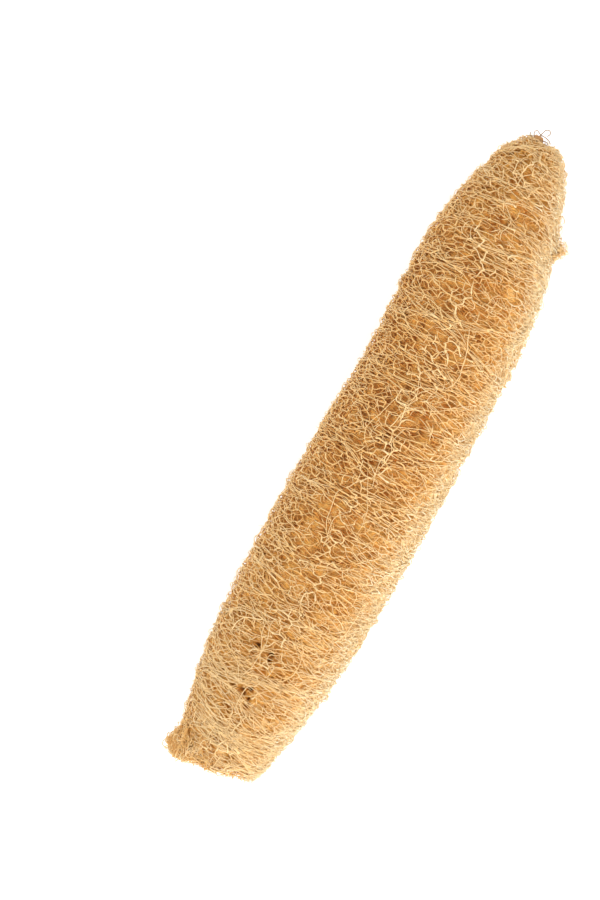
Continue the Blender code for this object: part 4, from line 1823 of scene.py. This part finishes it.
@dataclass
class MattedCore:
    """The matted inside of the gourd, under all the nets, with the three seed chambers bored in."""

    start: float = 2.6
    end: float = 347.2
    rings: int = 260
    sides: int = 150
    # Its depth under the skin is the core's own, give or take this much, and deeper in the thin spots.
    rough: float = 0.75
    shallowest: float = 1.6
    deepest: float = 4.1
    hole_depth: float = 7.0
    # How much higher it is on the key-lit side, and how much paler it is painted there as light.
    raised: float = 0.6
    paling: float = 1.2
    # How much higher it is behind the cut rim, and how far in that ends.
    rim_raised: float = 0.75
    rim_reach: float = 75.0
    # How much deeper the tone is in the golden openings, where that starts, and how much deeper in the holes:
    # both are painted shade.
    opening_shade_tone: float = 0.75
    opening_shade_limit: float = 0.2
    hole_tone: float = 2.2
    bore_sides: int = 28
    bore_rings: int = 16
    bore_middle: float = 0.01
    seed: int = 96

    def build(self, gourd: Gourd) -> Piece:
        """Models the core.

        Args:
            gourd: the form that it fills.

        Returns:
            The piece.
        """
        made = self.body(gourd)
        for turn in CHAMBER_ANGLES:
            self.bore(made, turn)
        made.data.shade_smooth()
        dress(made, MattedFinish().material())
        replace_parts(made, NODE)
        return made

    def body(self, gourd: Gourd) -> Piece:
        """Models the core before it is bored.

        Args:
            gourd: the form that it fills.

        Returns:
            The object.
        """
        draw = np.random.default_rng(self.seed)
        x = np.linspace(self.start, self.end, self.rings)[:, None]
        angle = np.linspace(-math.pi, math.pi, self.sides, endpoint=False)[None]
        x, angle = np.broadcast_arrays(x, angle)
        run = gourd.run_at_x(x)
        skin = gourd.swollen(x, gourd.radius_at(run), angle)
        bumps = self.softened(draw.normal(0.0, 1.0, skin.shape))
        depth = np.clip(CORE_DEPTH + self.rough * bumps, self.shallowest, self.deepest)
        depth = depth - self.rim_raised * np.clip(1 - run / self.rim_reach, 0.0, 1.0)
        holes = gourd.spots(run, angle, DARK_SPOTS)
        opening_shade = gourd.spots(run, angle, OPEN_SPOTS)
        pale = gourd.lit_pale(run, angle)
        radius = np.maximum(skin - depth + self.raised * np.maximum(pale, 0.0) - self.hole_depth * holes, 1.0)
        points = gourd.framed(x, radius, angle, np.full(skin.shape, CORE_DEPTH))
        # The tone is lower where the core lies deeper, in the openings and in the holes, as painted shade,
        # and higher on the key-lit side and behind the cut, as painted light.
        tone = (self.deepest - depth) / (self.deepest - self.shallowest) + self.paling * pale
        tone = np.where(opening_shade > self.opening_shade_limit, np.minimum(tone, 1.0), tone)
        return lofted("matted_core", points, tone - self.opening_shade_tone * opening_shade - self.hole_tone * holes)

    @staticmethod
    def softened(bumps: Array) -> Array:
        """The same random bumps, each blended with its neighbours, with a spread of 1."""
        for axis in (0, 1, 0, 1):
            bumps = (np.roll(bumps, 1, axis) + 2 * bumps + np.roll(bumps, -1, axis)) / 4
        return bumps / bumps.std()

    def bore(self, core: Piece, turn: float) -> None:
        """Cuts one seed chamber into the core.

        Args:
            core: what it is cut into.
            turn: the angle at which the chamber lies.
        """
        bm = bmesh.new()
        bmesh.ops.create_uvsphere(bm, u_segments=self.bore_sides, v_segments=self.bore_rings, radius=1.0)
        bmesh.ops.rotate(bm, verts=bm.verts, matrix=Matrix.Rotation(math.pi / 2, 3, "Y"))
        for vertex in bm.verts:
            mouth = vertex.co.x < self.bore_middle
            vertex.co *= Vector((CHAMBER_HALF_ROUND, CHAMBER_HALF_ROUND, CHAMBER_HALF_RADIAL))
            vertex.co.x += (0 if mouth else CHAMBER_DEPTH) - CHAMBER_HALF_ROUND + FRAME_SHIFT[0]
            vertex.co.z += CHAMBER_OFFSET
        bmesh.ops.rotate(bm, verts=bm.verts, matrix=Matrix.Rotation(turn - math.pi / 2, 3, "X"))
        bmesh.ops.translate(bm, verts=bm.verts, vec=(0, *CHAMBER_AXIS))
        bmesh.ops.scale(bm, vec=(MM,) * 3, verts=bm.verts)
        mesh = bpy.data.meshes.new("chamber")
        bm.to_mesh(mesh)
        bm.free()
        cutter = linked("chamber", mesh)
        cut = core.modifiers.new("chamber", "BOOLEAN")
        cut.operation = "DIFFERENCE"
        cut.object = cutter
        with bpy.context.temp_override(object=core, active_object=core):
            bpy.ops.object.modifier_apply(modifier=cut.name)
        bpy.data.objects.remove(cutter)


@dataclass
class FibreKnot:
    """The small tangle of fibre that stands out of the side."""

    seed: int = 17
    kind: Tuft = Tuft(90, 12, (4.0, 9.0), (0.15, 1.2), 0.1, True, wildness=0.7, radius=(0.26, 0.12))
    # How far its middle hangs towards the cut end, and how far its roots spread along and round the gourd.
    sag: float = 2.2
    spread: Row = (2.0, 1.6)
    sink: float = 0.6
    outward: float = 1.3
    tones: Row = (0.3, 1.0)

    def build(self, gourd: Gourd) -> Piece:
        """Winds the tangle.

        Args:
            gourd: the form that it stands on.

        Returns:
            The piece.
        """
        draw = np.random.default_rng(self.seed)
        kind = self.kind
        run = gourd.run_at_x(KNOT_PLACE) - self.sag
        runs = run + draw.normal(0.0, self.spread[0], kind.count)
        angles = KNOT_ANGLE + draw.normal(0.0, self.spread[1], kind.count) / float(gourd.radius_at(run))
        start = gourd.place(runs, angles, -self.sink)
        outward = np.array((0.0, math.cos(KNOT_ANGLE), math.sin(KNOT_ANGLE)))
        points = kind.grow(start, self.outward * outward, draw)
        tone = draw.uniform(*self.tones, (kind.count, 1))
        fibres = Fibres()
        fibres.add(points, kind.radii(kind.count, draw), tone)
        return fibres.write("fibre_knot", PALE_FIBRE.material())


@dataclass
class StemScar:
    """What is left of the stem: a short woody stub with curly hairs round it."""

    seed: int = 28
    side_shift: float = 3.4
    # The short hairs: how far round the stub and how far behind its tip they start, and how far ahead and
    # aside they point.
    hairs: Tuft = Tuft(40, 9, (2.5, 7.5), curls=(0.45, 1.1), wildness=0.4, radius=(0.17, 0.1))
    hair_ring: Row = (0.8, 5.0)
    hair_sink: Row = (0.3, 1.6)
    hair_heading: Row = (1.2, 0.5)
    hair_tones: Row = (0.2, 1.0)
    # Its longest hairs, seen from above: X and Y of each bend.
    wisps: tuple[tuple[Row, ...], ...] = (
        ((174.8, 6.3), (176.0, 7.7), (177.5, 8.0), (178.3, 7.1), (177.7, 5.9), (176.9, 4.4), (175.1, 4.6)),
        ((176.2, 5.1), (178.6, 4.2), (180.3, 3.5), (180.9, 1.8), (179.8, 0.7), (178.1, 1.4)),
        ((177.3, 4.6), (177.1, 2.3), (176.5, -0.2), (175.3, -1.7)),
        ((175.2, 2.4), (175.3, 0.5), (174.3, -0.3), (173.4, 0.6)),
    )
    wisp_steps: int = 5
    wisp_rise: float = 2.5
    wisp_radius: float = 0.28
    # The tone of the longest hairs and of the stub.
    tone: float = 0.5
    sides: int = 24
    flutes: int = 7
    flute_depth: float = 0.12
    # The stub's own profile: distance along X from the tip, and radius.
    profile: tuple[Row, ...] = (
        (-4.0, 3.2), (-1.4, 3.0), (-0.4, 2.6), (0.8, 2.3), (1.5, 1.8), (1.3, 0.9), (0.7, 0.2),
    )

    def build(self, gourd: Gourd) -> list[Piece]:
        """Models the stub and its hairs.

        Args:
            gourd: the form that the stem grew from.

        Returns:
            The two pieces.
        """
        tip_x = OUTLINE[-1][0]
        side = float(np.interp(tip_x, *gourd.middle)) + self.side_shift
        tip = np.array((tip_x, side, 0.0)) + FRAME_SHIFT
        stub = self.stub(tip)
        draw = np.random.default_rng(self.seed)
        kind = self.hairs
        each = (kind.count, 1)
        turn = draw.uniform(0.0, FULL_TURN, kind.count)
        around = np.stack((np.zeros(kind.count), np.cos(turn), np.sin(turn)), -1)
        ahead = np.array((1.0, 0.0, 0.0))
        start = tip + around * draw.uniform(*self.hair_ring, each)
        start = start - ahead * draw.uniform(*self.hair_sink, each)
        points = kind.grow(start, ahead * self.hair_heading[0] + around * self.hair_heading[1], draw)
        fibres = Fibres()
        fibres.add(points, kind.radii(kind.count, draw), draw.uniform(*self.hair_tones, each))
        for bends in self.wisps:
            x, y = smooth_points(bends, self.wisp_steps).T
            z = tip[2] + self.wisp_rise * np.sin(np.linspace(0.0, math.pi, len(x)))
            fibres.add(np.stack((x, y, z), -1)[None], self.wisp_radius, self.tone)
        return [stub, fibres.write("stem_hairs", HAIR_FIBRE.material())]

    def stub(self, tip: Array) -> Piece:
        """The woody stub at the tip: a turned profile with flutes."""
        turn = np.arange(self.sides) * FULL_TURN / self.sides
        x, radius = np.array(self.profile).T[..., None]
        radius = radius * (1 + self.flute_depth * np.cos(self.flutes * turn))
        x = np.broadcast_to(x, radius.shape)
        points = tip + np.stack((x, radius * np.cos(turn), radius * np.sin(turn)), -1)
        made = lofted("stem_stub", points, np.full(radius.shape, self.tone))
        made.data.shade_smooth()
        return dress(made, STEM_FIBRE.material())


@dataclass
class Studio:
    """A pale floor, plain soft light and a camera that looks down a little from the stem's side."""

    # Where the middle of the picture lies on the frame, and the direction that is to its right.
    aim: Triple = (-14.8, 38.20, 34.0)
    right: Row = (0.4633, -0.8862)
    lean: float = math.radians(7.0)
    # What the picture is high, in millimetres at the gourd's middle height, and the lens.
    picture_height: float = 447.75
    lens: float = 100.0
    sensor: float = 36.0
    sight: float = 50000.0
    floor_size: float = 6000.0
    floor_colour: Colour = (0.92, 0.92, 0.92)
    floor_roughness: float = 0.9
    floor_glow: float = 0.35
    # Soft patches of the floor: their size, and their shade as a share of its colour.
    patch_size: float = 180.0
    patch_shade: float = 0.98
    world_colour: Colour = (1.0, 0.99, 0.97)
    world_strength: float = 0.63
    # Each lamp's direction from the object seen from above, its height angle, its size and its power.
    lamps: tuple[tuple[str, float, float, float, float], ...] = (
        ("key_lamp", -112.0, 30.0, 1700.0, 28.0),
        ("fill_lamp", 100.0, 40.0, 1400.0, 10.5),
        ("top_lamp", 0.0, 88.0, 1600.0, 7.0),
    )
    lamp_distance: float = 1600.0

    def build(self) -> None:
        """Sets the floor, the lamps, the world and the camera."""
        self.floor()
        for name, azimuth, height, size, power in self.lamps:
            self.lamp(name, math.radians(azimuth), math.radians(height), size, power)
        world = bpy.data.worlds.new("studio")
        world.use_nodes = True
        background = world.node_tree.nodes["Background"]
        background.inputs["Color"].default_value = (*self.world_colour, 1.0)
        background.inputs["Strength"].default_value = self.world_strength
        bpy.context.scene.world = world
        bpy.context.scene.view_settings.view_transform = "Standard"
        self.camera()

    def floor(self) -> None:
        """Lays the wide pale plane that the object rests on."""
        half = self.floor_size / 2 * MM
        mesh = bpy.data.meshes.new("studio_floor")
        corners = [(-half, -half, 0), (half, -half, 0), (half, half, 0), (-half, half, 0)]
        mesh.from_pydata(corners, [], [(0, 1, 2, 3)])
        recipe = Recipe("studio_floor")
        shade = tuple(self.patch_shade * part for part in self.floor_colour)
        inputs = {
            "Base Color": recipe.mix(recipe.noise(self.patch_size, 1.0), self.floor_colour, shade),
            "Roughness": self.floor_roughness,
            "Emission Color": (1.0, 1.0, 1.0, 1.0),
            "Emission Strength": self.floor_glow,
            "Specular IOR Level": 0.0,
        }
        mesh.materials.append(recipe.finished(inputs))
        linked("studio_floor", mesh)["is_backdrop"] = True

    def lamp(self, name: str, azimuth: float, height: float, size: float, power: float) -> None:
        """Adds a square lamp that faces the object.

        Args:
            name: its name.
            azimuth: its direction from the object, from +X towards +Y.
            height: its angle over the floor.
            size: the length of its side.
            power: its power in watts.
        """
        data = bpy.data.lights.new(name, "AREA")
        data.shape = "SQUARE"
        data.size = size * MM
        data.energy = power
        made = linked(name, data)
        flat = math.cos(height)
        towards = Vector((flat * math.cos(azimuth), flat * math.sin(azimuth), math.sin(height)))
        made.location = towards * self.lamp_distance * MM + Vector((0, 0, self.aim[2] * MM))
        made.rotation_euler = towards.to_track_quat("Z", "Y").to_euler()

    def camera(self) -> None:
        """Adds the camera over the middle of the picture."""
        data = bpy.data.cameras.new("camera")
        data.lens = self.lens
        data.sensor_width = self.sensor
        data.sensor_fit = "AUTO"
        data.clip_end = self.sight * MM
        made = linked("camera", data)
        back = Vector((math.sin(self.lean), 0.0, math.cos(self.lean)))
        level = Vector((*self.right, 0.0))
        right = (level - level.project(back)).normalized()
        turn = Matrix((right, back.cross(right), back)).transposed()
        distance = self.picture_height * self.lens / self.sensor
        made.matrix_world = Matrix.Translation((Vector(self.aim) + back * distance) * MM) @ turn.to_4x4()
        bpy.context.scene.camera = made


# The deeper layers have lower tones and darker finishes, partly the fibre's own colour and partly painted
# shade.
NETS = (
    FibreNet(
        Layer.BAND, PALE_FIBRE, 44, -0.1, 4.6, 6.4, 0.31, 4, 0.8, 1, paling=0.1, webbing=0.8, only_bands=True
    ),
    FibreNet(Layer.OUTER, OUTER_FIBRE, 11, 0.3, 2.5, 6.9, 0.25, 3, 0.85, 2, paling=0.95),
    FibreNet(Layer.MIDDLE, MIDDLE_FIBRE, 22, 1.25, 2.35, 6.6, 0.21, 3, 0.60, 2, paling=1.3),
    FibreNet(Layer.DEEP, DEEP_FIBRE, 33, 2.1, 2.6, 7.0, 0.26, 2, 0.55, 1, paling=1.5),
)


def main() -> None:
    """Builds the sponge from the inside out, then the studio."""
    logging.basicConfig(level=logging.INFO, format="%(message)s")
    gourd = Gourd()
    MattedCore().build(gourd)
    for net in NETS:
        net.build(gourd)
    for part in (WrapStrands(), LengthVeins(), Fuzz(), TornRim(), CutFace(), FibreKnot(), StemScar()):
        part.build(gourd)
    Studio().build()
    boxes = {"packed": PACKED_BOX, "visual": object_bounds()}
    {name: [list(corner) for corner in box] for name, box in boxes.items()}


if __name__ == "__main__":
    main()
